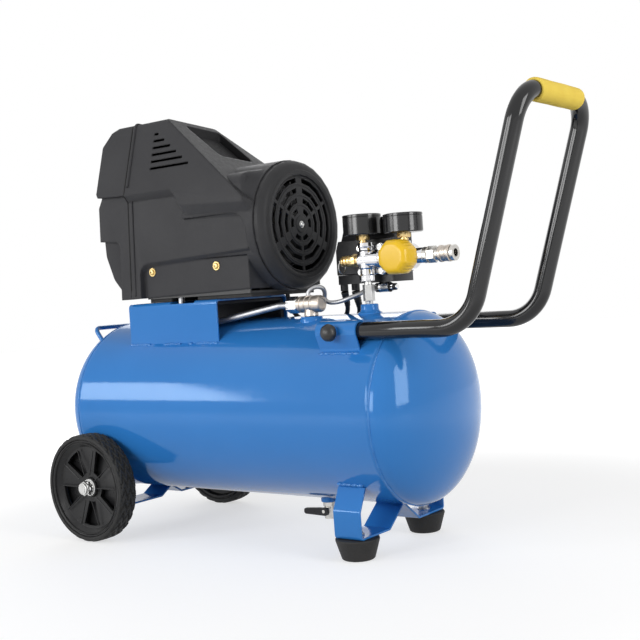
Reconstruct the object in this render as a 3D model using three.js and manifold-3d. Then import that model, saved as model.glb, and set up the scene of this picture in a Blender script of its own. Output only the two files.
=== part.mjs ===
import * as THREE from 'three';
import { mergeVertices } from 'three/addons/utils/BufferGeometryUtils.js';
import Module from 'manifold-3d';

// Wheeled electric air compressor with a 30 litre tank lying along X.
// Units are millimetres and +Z is up. The handle is at the +X end, the regulator knob faces -Y.
// The model is laid out from the middle of the tank, on the floor, and moved to its own origin at the end.

const wasm = await Module();
wasm.setup();

// ---------- driving dimensions ----------

const gap = 0.3; // clearance left between pieces that touch
const spin = 0.15; // radial clearance of a turning fit

// tank
const tankRadius = 127;
const tankWall = 2.5;
const seamX = 263; // weld seams, each way from the middle
const domeDepth = 56;
const tankBottom = 58.7; // underside of the tank above the floor
const seamWidth = 4;
const seamRise = 0.9;
const joggle = 14; // how far a head slips into the barrel
const tankSides = 32;
const axisZ = tankBottom + tankRadius;
const tankTop = axisZ + tankRadius;

// welded fittings
const riser = { x: 191, y: 0 };
const riserBungTop = tankTop + 12.3;
const riserBungRadius = 12;
const riserBore = 5.5;
const checkPort = { x: 113, y: -28 };
const checkBungRadius = 15;
const checkBore = 7.6;
const drain = { x: 101, y: 0 };
const drainBungRadius = 11;
const drainBungDrop = 8;
const drainBore = 5.2;

// motor bracket
const saddleFrom = -190;
const saddleTo = -14;
const saddleHalfWidth = 80;
const saddleTop = tankTop + 31.8;
const sheet = 3; // thickness of the folded brackets
const windowFrom = -106;
const windowTo = -58;

// wheels
const wheelRadius = 79.2;
const wheelX = -227.3;
const wheelFace = tankRadius + 31.7; // outer face of a wheel from the middle plane
const wheelWidth = 30.8;
const rimRadius = wheelRadius - 9.7;
const rimWall = 2.8;
const axleRadius = 6;
const spokes = 5;
const wheelSides = 26;

// feet and the strap brackets
const footX = 204.9;
const footY = 82.65;
const footHeight = 27.6;
const footTopRadius = 29.3;
const footBottomRadius = 21.8;
const strapWidth = 42;
const strapSeat = 42; // underside of the axle strap above the floor
const earY = tankRadius - 7; // outer face of an axle ear

// handle
const tubeRadius = 11.1;
const handleY = 90;
const handleZ = tankTop - 19.3;
const handleBendX = 391.25;
const handleTopX = 474.4;
const handleTopZ = handleZ + 268.2;
const handleEndX = 181;
const lowBend = 54;
const highBend = 38;
const gripRadius = 13.6;
const gripHalf = 51.5;
const sleeveFrom = 174;
const sleeveTo = 236;
const sleeveSheet = 2.5;
const sleevePlay = 0.45;
const knobX = 201;
const knobRadius = 11.5;

// power unit and shroud
const drumRadius = 91.5;
const motorZ = saddleTop + drumRadius + 5.5;
const drumEnd = 72;
const wall = 2.5;
const seamPlane = -172; // where the end cover meets the main shroud
const coverBackX = -236;
const roofRidge = { x: -99, y: -61.5, z: motorZ + 170.2 }; // a point of the ridge; the roof is level to the rear of it
const roofTilt = 0.0765; // the roof also falls a little towards +Y
const crownHalf = drumRadius + 6.9; // the crown is widest here, at the height below
const crownWaist = motorZ + 38.5;
const crownEnd = 62; // where the front slope has come down to the waist
const roofFall = (roofRidge.z - crownWaist + 1.1) / (crownEnd - roofRidge.x);
const farShoulder = 42;
const flankTop = { y: drumRadius - 8.5, z: motorZ + 68.5 }; // the flanks lean out towards the bottom
const flankFoot = { y: drumRadius - 2, z: motorZ - drumRadius + 1.5 };
const flankEndX = 58;
const panelEndX = 51;
const panelY = flankTop.y - 3;
const slots = 6;
const fanRadius = 60;
const shaftRadius = 6;
const statorRadius = 62;
const statorHalf = 45;
const baseZ = saddleTop + 5.5;
const pumpX = -105;
const mountX = [-148, -36];
const mountY = 52;
const mountRadius = 11;

// air line and controls
const lineZ = riserBungTop + 59.5; // axis of the manifold's long bore
const manifoldRadius = 16;
const regulatorX = 252;
const dialRadius = 26;
const gauges = [
  { name: 'tank', x: 187, bottom: lineZ + 33, height: 28 },
  { name: 'outlet', x: regulatorX, bottom: lineZ + 31.5, height: 25.5 },
];
const switchBox = { x0: 126, x1: 220, y0: 20, y1: 72, z0: lineZ - 31.5, split: lineZ - 18.5, z1: lineZ + 56.5 };
const leverPivot = [173, lineZ + 15.5];
const valveZ = tankTop + 16.8; // axis of the non-return valve

// cords
const motorLeadRadius = 3.3;
const mainsRadius = 3.7;
const coil = { x: -41, y: 342, middle: 48, columns: 2, layers: 2 }; // wound beside itself a cord's width apart
const coilPitch = 2 * mainsRadius + 0.3;
const coilOuter = coil.middle + (coil.columns * coilPitch) / 2;
const coilHeight = coil.layers * coilPitch;
const mainsGland = [141, 42];
const motorGland = [131.5, 28];
const glandDrop = 9; // how far a gland hangs below the switch

// ---------- solids ----------

const { PI, cos, sin, tan, hypot } = Math;
const degrees = PI / 180;

// closed three.js geometry to a manifold solid, with its faces turned outwards
function solid(geometry) {
  const bare = geometry.clone();
  bare.deleteAttribute('normal');
  bare.deleteAttribute('uv');
  const merged = mergeVertices(bare, 1e-4);
  const places = merged.attributes.position;
  const index = merged.index.array;
  const triangles = [];
  let volume = 0;
  const [a, b, c] = [new THREE.Vector3(), new THREE.Vector3(), new THREE.Vector3()];
  for (let i = 0; i < index.length; i += 3) {
    const [p, q, r] = [index[i], index[i + 1], index[i + 2]];
    if (p === q || q === r || r === p) continue;
    volume += a.fromBufferAttribute(places, p)
      .dot(b.fromBufferAttribute(places, q).cross(c.fromBufferAttribute(places, r)));
    triangles.push(p, q, r);
  }
  if (volume < 0) {
    for (let i = 0; i < triangles.length; i += 3) {
      [triangles[i], triangles[i + 1]] = [triangles[i + 1], triangles[i]];
    }
  }
  return new wasm.Manifold(new wasm.Mesh({
    numProp: 3,
    vertProperties: new Float32Array(places.array),
    triVerts: new Uint32Array(triangles),
  }));
}

function geometryOf(body) {
  const mesh = body.getMesh();
  const geometry = new THREE.BufferGeometry();
  geometry.setAttribute('position', new THREE.BufferAttribute(new Float32Array(mesh.vertProperties), 3));
  geometry.setIndex(new THREE.BufferAttribute(new Uint32Array(mesh.triVerts), 1));
  geometry.computeVertexNormals();
  return geometry;
}

const join = (...bodies) => bodies.reduce((sum, body) => sum.add(body));
const cut = (body, ...tools) => tools.reduce((rest, tool) => rest.subtract(tool), body);
const mirrorY = (body) => body.mirror([0, 1, 0]);

function box(x0, x1, y0, y1, z0, z1) {
  const geometry = new THREE.BoxGeometry(x1 - x0, y1 - y0, z1 - z0);
  return solid(geometry.translate((x0 + x1) / 2, (y0 + y1) / 2, (z0 + z1) / 2));
}

// turns the Y axis of a geometry onto the named axis and moves it to a centre line;
// the centre is [y, z] for x, [x, z] for y and [x, y] for z
function aim(geometry, axis, [p, q]) {
  if (axis === 'x') return geometry.rotateZ(-PI / 2).translate(0, p, q);
  if (axis === 'z') return geometry.rotateX(PI / 2).translate(p, q, 0);
  return geometry.translate(p, 0, q);
}

// a cylinder or cone between two stations of an axis
function rod(axis, radius, from, to, centre, sides = 16, endRadius = radius) {
  const geometry = new THREE.CylinderGeometry(endRadius, radius, to - from, sides);
  return solid(aim(geometry.translate(0, (from + to) / 2, 0), axis, centre));
}

const hexagon = (axis, acrossFlats, from, to, centre) =>
  rod(axis, acrossFlats / 2 / cos(PI / 6), from, to, centre, 6);

// a solid turned about an axis from a profile of [station, radius] points
function turned(axis, profile, centre, sides) {
  const points = profile.map(([station, radius]) => new THREE.Vector2(radius, station));
  const onAxis = profile[0][1] === 0 && profile[profile.length - 1][1] === 0;
  if (!onAxis) points.push(points[0].clone());
  return solid(aim(new THREE.LatheGeometry(points, sides), axis, centre));
}

// corners [x, y, z, radius] of a bent line, each rounded by its radius
function bent(corners, closed = false, steps = 4) {
  const at = (i) => new THREE.Vector3(...corners[(i + corners.length) % corners.length].slice(0, 3));
  const points = [];
  corners.forEach(([, , , radius = 0], i) => {
    const here = at(i);
    const isEnd = !closed && (i === 0 || i === corners.length - 1);
    if (isEnd || radius === 0) {
      points.push(here);
      return;
    }
    const back = at(i - 1).sub(here).normalize();
    const onward = at(i + 1).sub(here).normalize();
    const half = back.angleTo(onward) / 2;
    const middle = back.clone().add(onward).normalize().multiplyScalar(radius / sin(half)).add(here);
    const first = here.clone().addScaledVector(back, radius / tan(half)).sub(middle);
    const last = here.clone().addScaledVector(onward, radius / tan(half)).sub(middle);
    const sweep = first.angleTo(last);
    for (let k = 0; k <= steps; k++) {
      const arm = first.clone().multiplyScalar(sin((1 - k / steps) * sweep) / sin(sweep));
      points.push(arm.addScaledVector(last, sin((k / steps) * sweep) / sin(sweep)).add(middle));
    }
  });
  return points;
}

// flat outline from corners [u, v, radius]
const outline = (corners, steps = 4) =>
  bent(corners.map(([u, v, radius]) => [u, v, 0, radius]), true, steps).map((p) => new THREE.Vector2(p.x, p.y));

// the same outline moved inwards by a distance, with mitred corners
function inset(points, distance) {
  const turn = THREE.ShapeUtils.area(points) > 0 ? 1 : -1;
  return points.map((here, i) => {
    const before = points[(i + points.length - 1) % points.length];
    const after = points[(i + 1) % points.length];
    const a = here.clone().sub(before).normalize();
    const b = after.clone().sub(here).normalize();
    const side = new THREE.Vector2(-(a.y + b.y), a.x + b.x).multiplyScalar(turn);
    return side.multiplyScalar(distance / (1 + a.dot(b))).add(here);
  });
}

// an outline carried along an axis: it is (y, z) for x, (x, z) for y and (x, y) for z
function carried(axis, points, from, to) {
  const flat = axis === 'y' ? points.map((p) => new THREE.Vector2(p.y, p.x)) : points;
  const geometry = new THREE.ExtrudeGeometry(new THREE.Shape(flat), { depth: to - from, bevelEnabled: false });
  geometry.translate(0, 0, from);
  if (axis === 'x') geometry.applyMatrix4(new THREE.Matrix4().set(0, 0, 1, 0, 1, 0, 0, 0, 0, 1, 0, 0, 0, 0, 0, 1));
  if (axis === 'y') geometry.applyMatrix4(new THREE.Matrix4().set(0, 1, 0, 0, 0, 0, 1, 0, 1, 0, 0, 0, 0, 0, 0, 1));
  return solid(geometry);
}

// a solid through outlines of (x, z) points that stand at rising y; all have the same number of points
function lofted(sections) {
  const count = sections[0].points.length;
  const places = sections.flatMap(({ y, points }) => points.flatMap((p) => [p.x, y, p.y]));
  const index = [];
  for (let s = 0; s < sections.length - 1; s++) {
    for (let i = 0; i < count; i++) {
      const next = (i + 1) % count;
      const [a, b, c, d] = [s * count + i, s * count + next, (s + 1) * count + i, (s + 1) * count + next];
      index.push(a, b, d, a, d, c);
    }
  }
  const end = (sections.length - 1) * count;
  for (const [a, b, c] of THREE.ShapeUtils.triangulateShape(sections[0].points, [])) index.push(a, c, b);
  for (const [a, b, c] of THREE.ShapeUtils.triangulateShape(sections[sections.length - 1].points, [])) {
    index.push(end + a, end + b, end + c);
  }
  if (THREE.ShapeUtils.area(sections[0].points) < 0) {
    for (let i = index.length - 1; i > 0; i -= 3) [index[i], index[i - 1]] = [index[i - 1], index[i]];
  }
  const geometry = new THREE.BufferGeometry();
  geometry.setAttribute('position', new THREE.Float32BufferAttribute(places, 3));
  geometry.setIndex(index);
  return solid(geometry);
}

// a route with one station at each of its points
class Route extends THREE.Curve {
  constructor(points) {
    super();
    this.points = points;
  }

  getPoint(t) {
    const last = this.points.length - 1;
    const i = Math.min(Math.floor(t * last + 1e-9), last - 1);
    return this.points[i].clone().lerp(this.points[i + 1], t * last - i);
  }

  getPointAt(u) {
    return this.getPoint(u);
  }

  getTangentAt(u) {
    const last = this.points.length - 1;
    const i = Math.round(u * last);
    const ahead = this.points[Math.min(i + 1, last)].clone().sub(this.points[Math.min(i, last - 1)]).normalize();
    const behind = this.points[Math.max(i, 1)].clone().sub(this.points[Math.max(i - 1, 0)]).normalize();
    return ahead.add(behind).normalize();
  }
}

function swept(points, radius, sides) {
  const ring = Array.from({ length: sides }, (_, i) =>
    new THREE.Vector2(radius * cos((2 * PI * i) / sides), radius * sin((2 * PI * i) / sides)));
  const settings = { steps: points.length - 1, extrudePath: new Route(points), bevelEnabled: false };
  return solid(new THREE.ExtrudeGeometry(new THREE.Shape(ring), settings));
}

// a smooth run through points chosen by hand, with a given number of stations
const smooth = (points, steps) =>
  new THREE.CatmullRomCurve3(points.map((p) => new THREE.Vector3(...p)), false, 'centripetal').getSpacedPoints(steps);

// a folded strip seen edge on: corners [y, z, radius] of its middle line, carried along x
function strap(corners, thickness, from, to) {
  const line = bent(corners.map(([y, z, radius]) => [y, z, 0, radius])).map((p) => new THREE.Vector2(p.x, p.y));
  const side = (i, sign) => {
    const before = line[Math.max(i - 1, 0)];
    const after = line[Math.min(i + 1, line.length - 1)];
    const a = i === 0 ? after.clone().sub(line[i]).normalize() : line[i].clone().sub(before).normalize();
    const b = i === line.length - 1 ? a : after.clone().sub(line[i]).normalize();
    const offset = new THREE.Vector2(-(a.y + b.y), a.x + b.x).multiplyScalar((sign * thickness) / 2 / (1 + a.dot(b)));
    return line[i].clone().add(offset);
  };
  const left = line.map((_, i) => side(i, 1));
  const right = line.map((_, i) => side(i, -1)).reverse();
  return carried('x', [...left, ...right], from, to);
}

// ---------- the part ----------

const group = new THREE.Group();
group.name = 'air_compressor';

const paints = {
  blue: { color: 0x2f6db8, roughness: 0.28, metalness: 0.1 },
  glossBlack: { color: 0x101012, roughness: 0.2, metalness: 0.1 },
  plastic: { color: 0x2a2b2d, roughness: 0.55, metalness: 0 },
  rubber: { color: 0x1d1d1e, roughness: 0.85, metalness: 0 },
  yellow: { color: 0xf3c22b, roughness: 0.5, metalness: 0 },
  zinc: { color: 0xcfd2d6, roughness: 0.3, metalness: 1 },
  nickel: { color: 0xb9aea0, roughness: 0.32, metalness: 1 },
  chrome: { color: 0xd9dbde, roughness: 0.12, metalness: 1 },
  brass: { color: 0xc9a04e, roughness: 0.3, metalness: 1 },
  aluminium: { color: 0xbfc2c6, roughness: 0.4, metalness: 1 },
  castGrey: { color: 0x85888c, roughness: 0.6, metalness: 0.8 },
  clear: { color: 0xe9eef0, roughness: 0.1, metalness: 0 },
  red: { color: 0xb3261e, roughness: 0.5, metalness: 0 },
};

const cordNames = new Set();

function part(name, body, paint, { cord = false } = {}) {
  const mesh = new THREE.Mesh(geometryOf(body), new THREE.MeshStandardMaterial(paints[paint]));
  mesh.name = name;
  if (cord) cordNames.add(name);
  group.add(mesh);
}

// pieces that come in pairs, one on each side of the middle plane
function pair(name, body, paint) {
  part(`${name}_left`, body, paint);
  part(`${name}_right`, mirrorY(body), paint);
}

// ---------- tank ----------

// outer shape of the closed tank, grown by a clearance, which trims all that is welded to it
function tankBody(grow) {
  const steps = 7;
  const profile = [];
  for (let i = -steps; i <= steps; i++) {
    const a = (i / steps) * (PI / 2);
    const end = Math.sign(a) * (seamX + (domeDepth + grow) * sin(Math.abs(a)));
    profile.push([end, Math.abs(i) === steps ? 0 : (tankRadius + grow) * cos(a)]);
    if (i === 0) profile.splice(-1, 1, [-seamX, tankRadius + grow], [seamX, tankRadius + grow]);
  }
  return turned('x', profile, [0, axisZ], tankSides);
}

function barrel() {
  const inner = tankRadius - tankWall;
  const bead = tankRadius + seamRise;
  const slope = seamWidth + 1.5;
  const shell = turned('x', [
    [-seamX, inner], [-seamX, bead], [-seamX + seamWidth, bead], [-seamX + slope, tankRadius],
    [seamX - slope, tankRadius], [seamX - seamWidth, bead], [seamX, bead], [seamX, inner],
  ], [0, axisZ], tankSides);
  const riserBung = turned('z', [
    [tankTop - tankWall, 0], [tankTop - tankWall, riserBungRadius + 5], [tankTop + 0.5, riserBungRadius + 4],
    [tankTop + 3.5, riserBungRadius + 0.6], [riserBungTop - 1.5, riserBungRadius],
    [riserBungTop, riserBungRadius - 1.5], [riserBungTop, 0],
  ], [riser.x, riser.y], 20);
  const checkFoot = axisZ + tankRadius * cos(Math.asin(checkPort.y / tankRadius));
  const checkBung = rod('z', checkBungRadius, checkFoot - 7, checkFoot + 3, [checkPort.x, checkPort.y], 20);
  const drainBung = rod('z', drainBungRadius, tankBottom - drainBungDrop, tankBottom + tankWall, [drain.x, drain.y], 20);
  const bores = [
    rod('z', riserBore, tankTop - 20, riserBungTop + 5, [riser.x, riser.y]),
    rod('z', checkBore, tankTop - 30, tankTop + 10, [checkPort.x, checkPort.y]),
    rod('z', drainBore, tankBottom - 20, tankBottom + 20, [drain.x, drain.y]),
  ];
  return cut(join(shell, riserBung, checkBung, drainBung), ...bores);
}

function head() {
  const fit = tankRadius - tankWall - gap;
  const inner = fit - tankWall;
  const bead = tankRadius + seamRise;
  const start = seamX + gap;
  const profile = [
    [seamX - joggle, inner], [seamX - joggle, fit], [start, fit], [start, bead], [start + seamWidth, bead],
  ];
  const first = Math.asin((seamWidth + 2) / domeDepth);
  const rings = 5;
  for (let i = 0; i <= rings; i++) {
    const a = first + ((PI / 2 - first) * i) / rings;
    profile.push([seamX + domeDepth * sin(a), i === rings ? 0 : tankRadius * cos(a)]);
  }
  const innerRings = 2;
  for (let i = innerRings; i >= 0; i--) {
    const a = ((PI / 2) * i) / innerRings;
    profile.push([seamX + (domeDepth - tankWall) * sin(a), i === innerRings ? 0 : inner * cos(a)]);
  }
  // the two points on the axis close the profile, so it is started there
  const apex = profile.findIndex(([, radius]) => radius === 0);
  const ordered = [...profile.slice(apex + 1), ...profile.slice(0, apex + 1)];
  return turned('x', ordered, [0, axisZ], tankSides);
}

part('tank_barrel', barrel(), 'blue');
part('tank_head_front', head(), 'blue');
part('tank_head_rear', head().mirror([1, 0, 0]), 'blue');

const nearTank = tankBody(gap);

// ---------- brackets welded to the tank ----------

function motorBracket() {
  const middle = saddleHalfWidth - sheet / 2;
  const top = saddleTop - sheet / 2;
  const arch = strap([[-middle, axisZ, 0], [-middle, top, 5], [middle, top, 5], [middle, axisZ, 0]],
    sheet, saddleFrom, saddleTo);
  const openTop = box(windowFrom, windowTo, -saddleHalfWidth - 1, saddleHalfWidth + 1, saddleTop - sheet, saddleTop + 1);
  return cut(arch, openTop, nearTank);
}

function rearRod() {
  const radius = 3.5;
  const reach = 60;
  const topZ = tankTop - 2.2;
  const footZ = tankTop - 29.7;
  const backX = -seamX - 27;
  const points = bent([
    [-seamX - 6, -reach, footZ, 0], [backX, -reach, topZ, 9], [backX, reach, topZ, 9], [-seamX - 6, reach, footZ, 0],
  ]);
  return cut(swept(points, radius, 10), nearTank);
}

// a strap with a raised middle that touches the tank, two seats and two legs
function strapBracket(x, seat, legs) {
  const rise = tankBottom - sheet / 2;
  const half = [[0, rise, 3], ...legs];
  const line = [...half.slice(1).reverse().map(([y, z, r]) => [-y, z, r]), half[0], ...half.slice(1)];
  return cut(strap(line, sheet, x - strapWidth / 2, x + strapWidth / 2), nearTank);
}

const axleMiddle = earY - sheet / 2;
const axleBracket = strapBracket(wheelX, strapSeat, [
  [22, strapSeat + sheet / 2, 4], [axleMiddle, strapSeat + sheet / 2, 5], [axleMiddle, wheelRadius + 20.8, 6], [96, wheelRadius + 48.8, 0],
]);
const footSeat = footHeight + gap + sheet / 2;
const footBracket = strapBracket(footX, footSeat, [
  [37, footSeat, 4], [102, footSeat, 4], [102.5, 64, 5], [84, 100, 0],
]);
const axleHole = rod('y', axleRadius + gap, -earY - 5, earY + 5, [wheelX, wheelRadius], 20);

part('motor_bracket', motorBracket(), 'blue');
part('rear_rod_handle', rearRod(), 'blue');
part('axle_bracket', cut(axleBracket, axleHole), 'blue');
part('foot_bracket', footBracket, 'blue');

// folded sleeve in which a handle tube slides
function handleSleeve() {
  const radius = tubeRadius + sleevePlay + sleeveSheet / 2;
  const line = [[-handleY - 4, axisZ + 50, 0], [-handleY - 4.5, handleZ - 21, 3]];
  const steps = 10;
  const wrap = PI + 38 * degrees;
  for (let i = 0; i <= steps; i++) {
    const a = wrap - (wrap * i) / steps;
    line.push([-handleY + radius * cos(a), handleZ + radius * sin(a), 0]);
  }
  line.push([-handleY + radius, axisZ + 80, 0]);
  const boss = rod('y', 8, -handleY - radius - 5, -handleY - radius, [knobX, handleZ], 16);
  const thread = rod('y', 3.4, -handleY - radius - 10, -handleY - radius + 5, [knobX, handleZ], 12);
  return cut(join(strap(line, sleeveSheet, sleeveFrom, sleeveTo), boss), thread, nearTank);
}

pair('handle_saddle', handleSleeve(), 'blue');

// ---------- wheels and feet ----------

function tyre() {
  const seat = rimRadius + gap;
  const profile = [[3.3, seat], [3.3, seat + 2.2], [0, seat + 4], [1.2, wheelRadius - 1.2], [3.6, wheelRadius]];
  const across = profile.map(([t, r]) => [wheelWidth - t, r]).reverse();
  return turned('y', [...profile, ...across].map(([t, r]) => [-wheelFace + t, r]), [wheelX, wheelRadius], wheelSides);
}

function rim() {
  const outer = rimRadius;
  const inner = rimRadius - rimWall;
  const lip = rimRadius + 1.7;
  const hub = 14;
  const hubFace = 10.5; // hub end below the wheel's outer face
  const webOut = 14.5;
  const webIn = 18;
  const bore = axleRadius + spin;
  const ring = [
    [hubFace, bore], [hubFace, hub], [webOut, hub + 1], [webOut - 4, inner - 6], [1.5, lip - 1.5], [1.5, lip], [3, lip],
    [3, outer], [wheelWidth - 1.5, outer], [wheelWidth - 1.5, inner],
    [webIn - 3, inner - 2], [webIn, hub + 2], [wheelWidth + 0.5, hub - 1], [wheelWidth + 0.5, bore],
  ];
  const disc = turned('y', ring.map(([t, r]) => [-wheelFace + t, r]), [wheelX, wheelRadius], wheelSides);
  const windows = [];
  const step = 360 / spokes;
  for (let i = 0; i < spokes; i++) {
    const middle = 90 + step * (i + 0.5);
    windows.push(sector('y', 22, 57, middle - step * 0.24, middle + step * 0.24, -wheelFace, -wheelFace + wheelWidth,
      [wheelX, wheelRadius], 3));
  }
  return cut(disc, ...windows);
}

// a ring sector, used to cut windows and slots; angles in degrees
function sector(axis, inner, outer, from, to, start, end, [u, v], steps) {
  const arc = (radius, a) => new THREE.Vector2(u + radius * cos(a * degrees), v + radius * sin(a * degrees));
  const stations = Array.from({ length: steps + 1 }, (_, i) => from + ((to - from) * i) / steps);
  const points = [...stations.map((a) => arc(outer, a)), ...stations.reverse().map((a) => arc(inner, a))];
  return carried(axis, points, start, end);
}

// bolt with its head inside the ear, washer and lock nut in the dish of the rim
function axleBolt() {
  const centre = [wheelX, wheelRadius];
  const nutFrom = -wheelFace - 3.5;
  const hubFace = -wheelFace + 10.5;
  return join(
    hexagon('y', 18, -earY + sheet + gap, -earY + sheet + gap + 7.5, centre),
    rod('y', axleRadius, nutFrom - 1, -earY + sheet + gap + 1, centre, 20),
    rod('y', 11, -wheelFace + wheelWidth + 0.5 + gap, -earY - gap, centre, 20),
    rod('y', 12, hubFace - 2 - gap, hubFace - gap, centre, 20),
    hexagon('y', 19, nutFrom + 3, hubFace - 1 - gap, centre),
    rod('y', 8.6, nutFrom, nutFrom + 4, centre, 20),
  );
}

// rubber foot with its screw, whose head is the pad's own washer
function foot() {
  const profile = [
    [0, 0], [0, footBottomRadius - 1.5], [1.5, footBottomRadius], [footHeight - 1.5, footTopRadius],
    [footHeight, footTopRadius - 1], [footHeight, 0],
  ];
  return turned('z', profile, [footX, -footY], 24);
}

pair('tyre', tyre(), 'rubber');
pair('rim', rim(), 'plastic');
pair('axle_bolt', axleBolt(), 'zinc');
pair('foot', foot(), 'rubber');

// ---------- handle ----------

const handleLine = bent([
  [handleEndX, -handleY, handleZ, 0], [handleBendX, -handleY, handleZ, lowBend],
  [handleTopX, -handleY, handleTopZ, highBend], [handleTopX, handleY, handleTopZ, highBend],
  [handleBendX, handleY, handleZ, lowBend], [handleEndX, handleY, handleZ, 0],
], false, 5);
part('handle_bar', swept(handleLine, tubeRadius, 12), 'glossBlack');

function grip() {
  const round = 2;
  const bore = tubeRadius + gap;
  return turned('y', [
    [-gripHalf, bore], [-gripHalf, gripRadius - round], [-gripHalf + round, gripRadius],
    [gripHalf - round, gripRadius], [gripHalf, gripRadius - round], [gripHalf, bore],
  ], [handleTopX, handleTopZ], 20);
}
part('handle_grip', grip(), 'yellow');

// lobed knob whose screw presses on the handle tube
function lockKnob() {
  const lobes = 7;
  const sleeveOut = handleY + tubeRadius + sleevePlay + sleeveSheet;
  const face = -sleeveOut - 4 - gap;
  const knobDepth = 12.5;
  const rimLine = Array.from({ length: lobes * 6 }, (_, i) => {
    const a = (2 * PI * i) / (lobes * 6);
    const radius = knobRadius - 1.1 + 1.1 * cos(lobes * a);
    return new THREE.Vector2(knobX + radius * cos(a), handleZ + radius * sin(a));
  });
  const waist = rod('y', 6.5, face - 4, face, [knobX, handleZ], 14);
  const crown = carried('y', rimLine, face - knobDepth + 3, face - 4);
  const cap = rod('y', 7.2, face - knobDepth, face - knobDepth + 3, [knobX, handleZ], 20, knobRadius - 2.4);
  const screw = rod('y', 3.2, face - 2, -handleY - tubeRadius - gap, [knobX, handleZ], 12);
  return join(waist, crown, cap, screw);
}
pair('lock_knob', lockKnob(), 'plastic');

// ---------- shroud ----------

const roofAt = (x, y) => roofRidge.z - roofTilt * (y - roofRidge.y) - roofFall * Math.max(0, x - roofRidge.x);

// section of the crown across the machine, in (y, z)
const crownSection = (inward) => inset(outline([
  [-crownHalf, motorZ - 11.5, 0], [-crownHalf, crownWaist, 0], [roofRidge.y, roofRidge.z, 5],
  [farShoulder, roofAt(roofRidge.x, farShoulder), 5], [crownHalf, crownWaist, 0], [crownHalf, motorZ - 11.5, 0],
], 2), inward);

// crown: its underside is bevelled from the face of each flank down to the foot of the bevel
function crown(inward) {
  const left = seamPlane - (inward > 0 ? 20 : 0);
  const section = (y, low, front, drop) => {
    const top = (x) => roofAt(x, y);
    const corners = [
      [left, low[0], 0], [low[1], low[0], 5], [low[3], low[2] - drop, 14], [front, low[2] - 6 - drop, 3],
      [front, top(front), 0], [-125, top(roofRidge.x) + 23 * roofFall, 0], [left, top(roofRidge.x) + 23 * roofFall, 0],
    ];
    return { y: y - Math.sign(y) * inward, points: inset(outline(corners, 3), inward) };
  };
  const face = [crownWaist + 35.5, -75, crownWaist, -56];
  const foot = [crownWaist + 15.5, -77, crownWaist - 21, -52];
  const body = lofted([
    section(-crownHalf - 0.6, face, crownEnd, 0), section(-flankTop.y - 1, foot, crownEnd + 9, 0),
    section(flankTop.y + 1, foot, crownEnd + 9, 17), section(crownHalf + 0.6, face, crownEnd, 17),
  ]);
  return body.intersect(carried('x', crownSection(inward), -400, 200));
}

// lower body: two leaning flanks, each with a sunken panel that takes the screws
function flanks(inward) {
  const open = inward > 0 ? 20 : 0;
  const section = [
    new THREE.Vector2(-flankFoot.y + inward, flankFoot.z - open), new THREE.Vector2(-flankTop.y + inward, flankTop.z - inward),
    new THREE.Vector2(flankTop.y - inward, flankTop.z - inward), new THREE.Vector2(flankFoot.y - inward, flankFoot.z - open),
  ];
  const side = outline([
    [seamPlane - open, flankFoot.z - open, 0], [panelEndX - inward, flankFoot.z + 4.5 - open, 0],
    [panelEndX - inward, motorZ - 41.5, 0], [flankEndX - inward, motorZ - 33.5, 0],
    [flankEndX - inward, flankTop.z + 20, 0], [seamPlane - open, flankTop.z + 20, 0],
  ]);
  const body = carried('x', section, -260, 60).intersect(carried('y', side, -110, 110));
  const panelFloor = flankFoot.z - 50;
  const panel = (y, rise) => ({
    y, points: outline([
      [-152 - inward, panelFloor, 0], [70, panelFloor, 0], [70, motorZ - 35.3 + rise + inward, 0],
      [-152 - inward, motorZ - 45 + rise + inward, 16],
    ], 3),
  });
  const sunk = lofted([panel(-104, 18.5), panel(-panelY + inward, 0)]);
  return cut(body, sunk, mirrorY(sunk));
}

// drum round the motor, kept inside the flanks where they pass it
function drum(inward) {
  const body = rod('x', drumRadius - inward, -60 + inward, drumEnd + (inward > 0 ? 20 : 0), [0, motorZ], 40);
  const corner = outline([[-90, motorZ - 71.5, 0], [flankEndX, motorZ - 71.5, 0], [flankEndX, motorZ + 19.5, 25], [-90, motorZ + 19.5, 0]]);
  const beside = carried('y', corner, -120, -flankTop.y + inward);
  const low = box(-90, panelEndX, -120, -panelY + inward, flankFoot.z - 50, motorZ - 38.5);
  return cut(body, beside, mirrorY(beside), low, mirrorY(low));
}

const shroudSolid = (inward) => join(crown(inward), flanks(inward), drum(inward));

function ventSlots() {
  return Array.from({ length: slots }, (_, i) => {
    const z = roofRidge.z - 21.1 - 10.2 * i;
    return box(-123.5, -115 + 13.6 * i, -crownHalf, crownHalf, z - 1.7, z + 1.7);
  });
}

// a block of given plan that reaches down to a plane below the front slope of the roof
function aboveSlope(corners, depth) {
  const slope = new THREE.Vector3(roofFall, roofTilt, 1);
  const level = roofRidge.z + roofTilt * roofRidge.y + roofFall * roofRidge.x - depth;
  const length = slope.length();
  return carried('z', outline(corners, 3), motorZ - 11.5, roofRidge.z + 90).trimByPlane(slope.divideScalar(length).toArray(), level / length);
}

const pocketPlan = (grow) => [
  [-93 - grow, -34 - grow, 5], [-28 + grow, -34 - grow, 8], [-28 + grow, 40 + grow, 8], [-93 - grow, 40 + grow, 5],
];
const pocketDepth = 16;

function mainShroud() {
  const shell = cut(shroudSolid(0), shroudSolid(wall), ...ventSlots());
  const pocket = aboveSlope(pocketPlan(0), pocketDepth);
  const lining = aboveSlope(pocketPlan(wall), pocketDepth + 1.4 * wall).intersect(crown(0));
  return cut(join(shell, lining), pocket);
}
part('shroud_main', mainShroud(), 'plastic');

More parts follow.
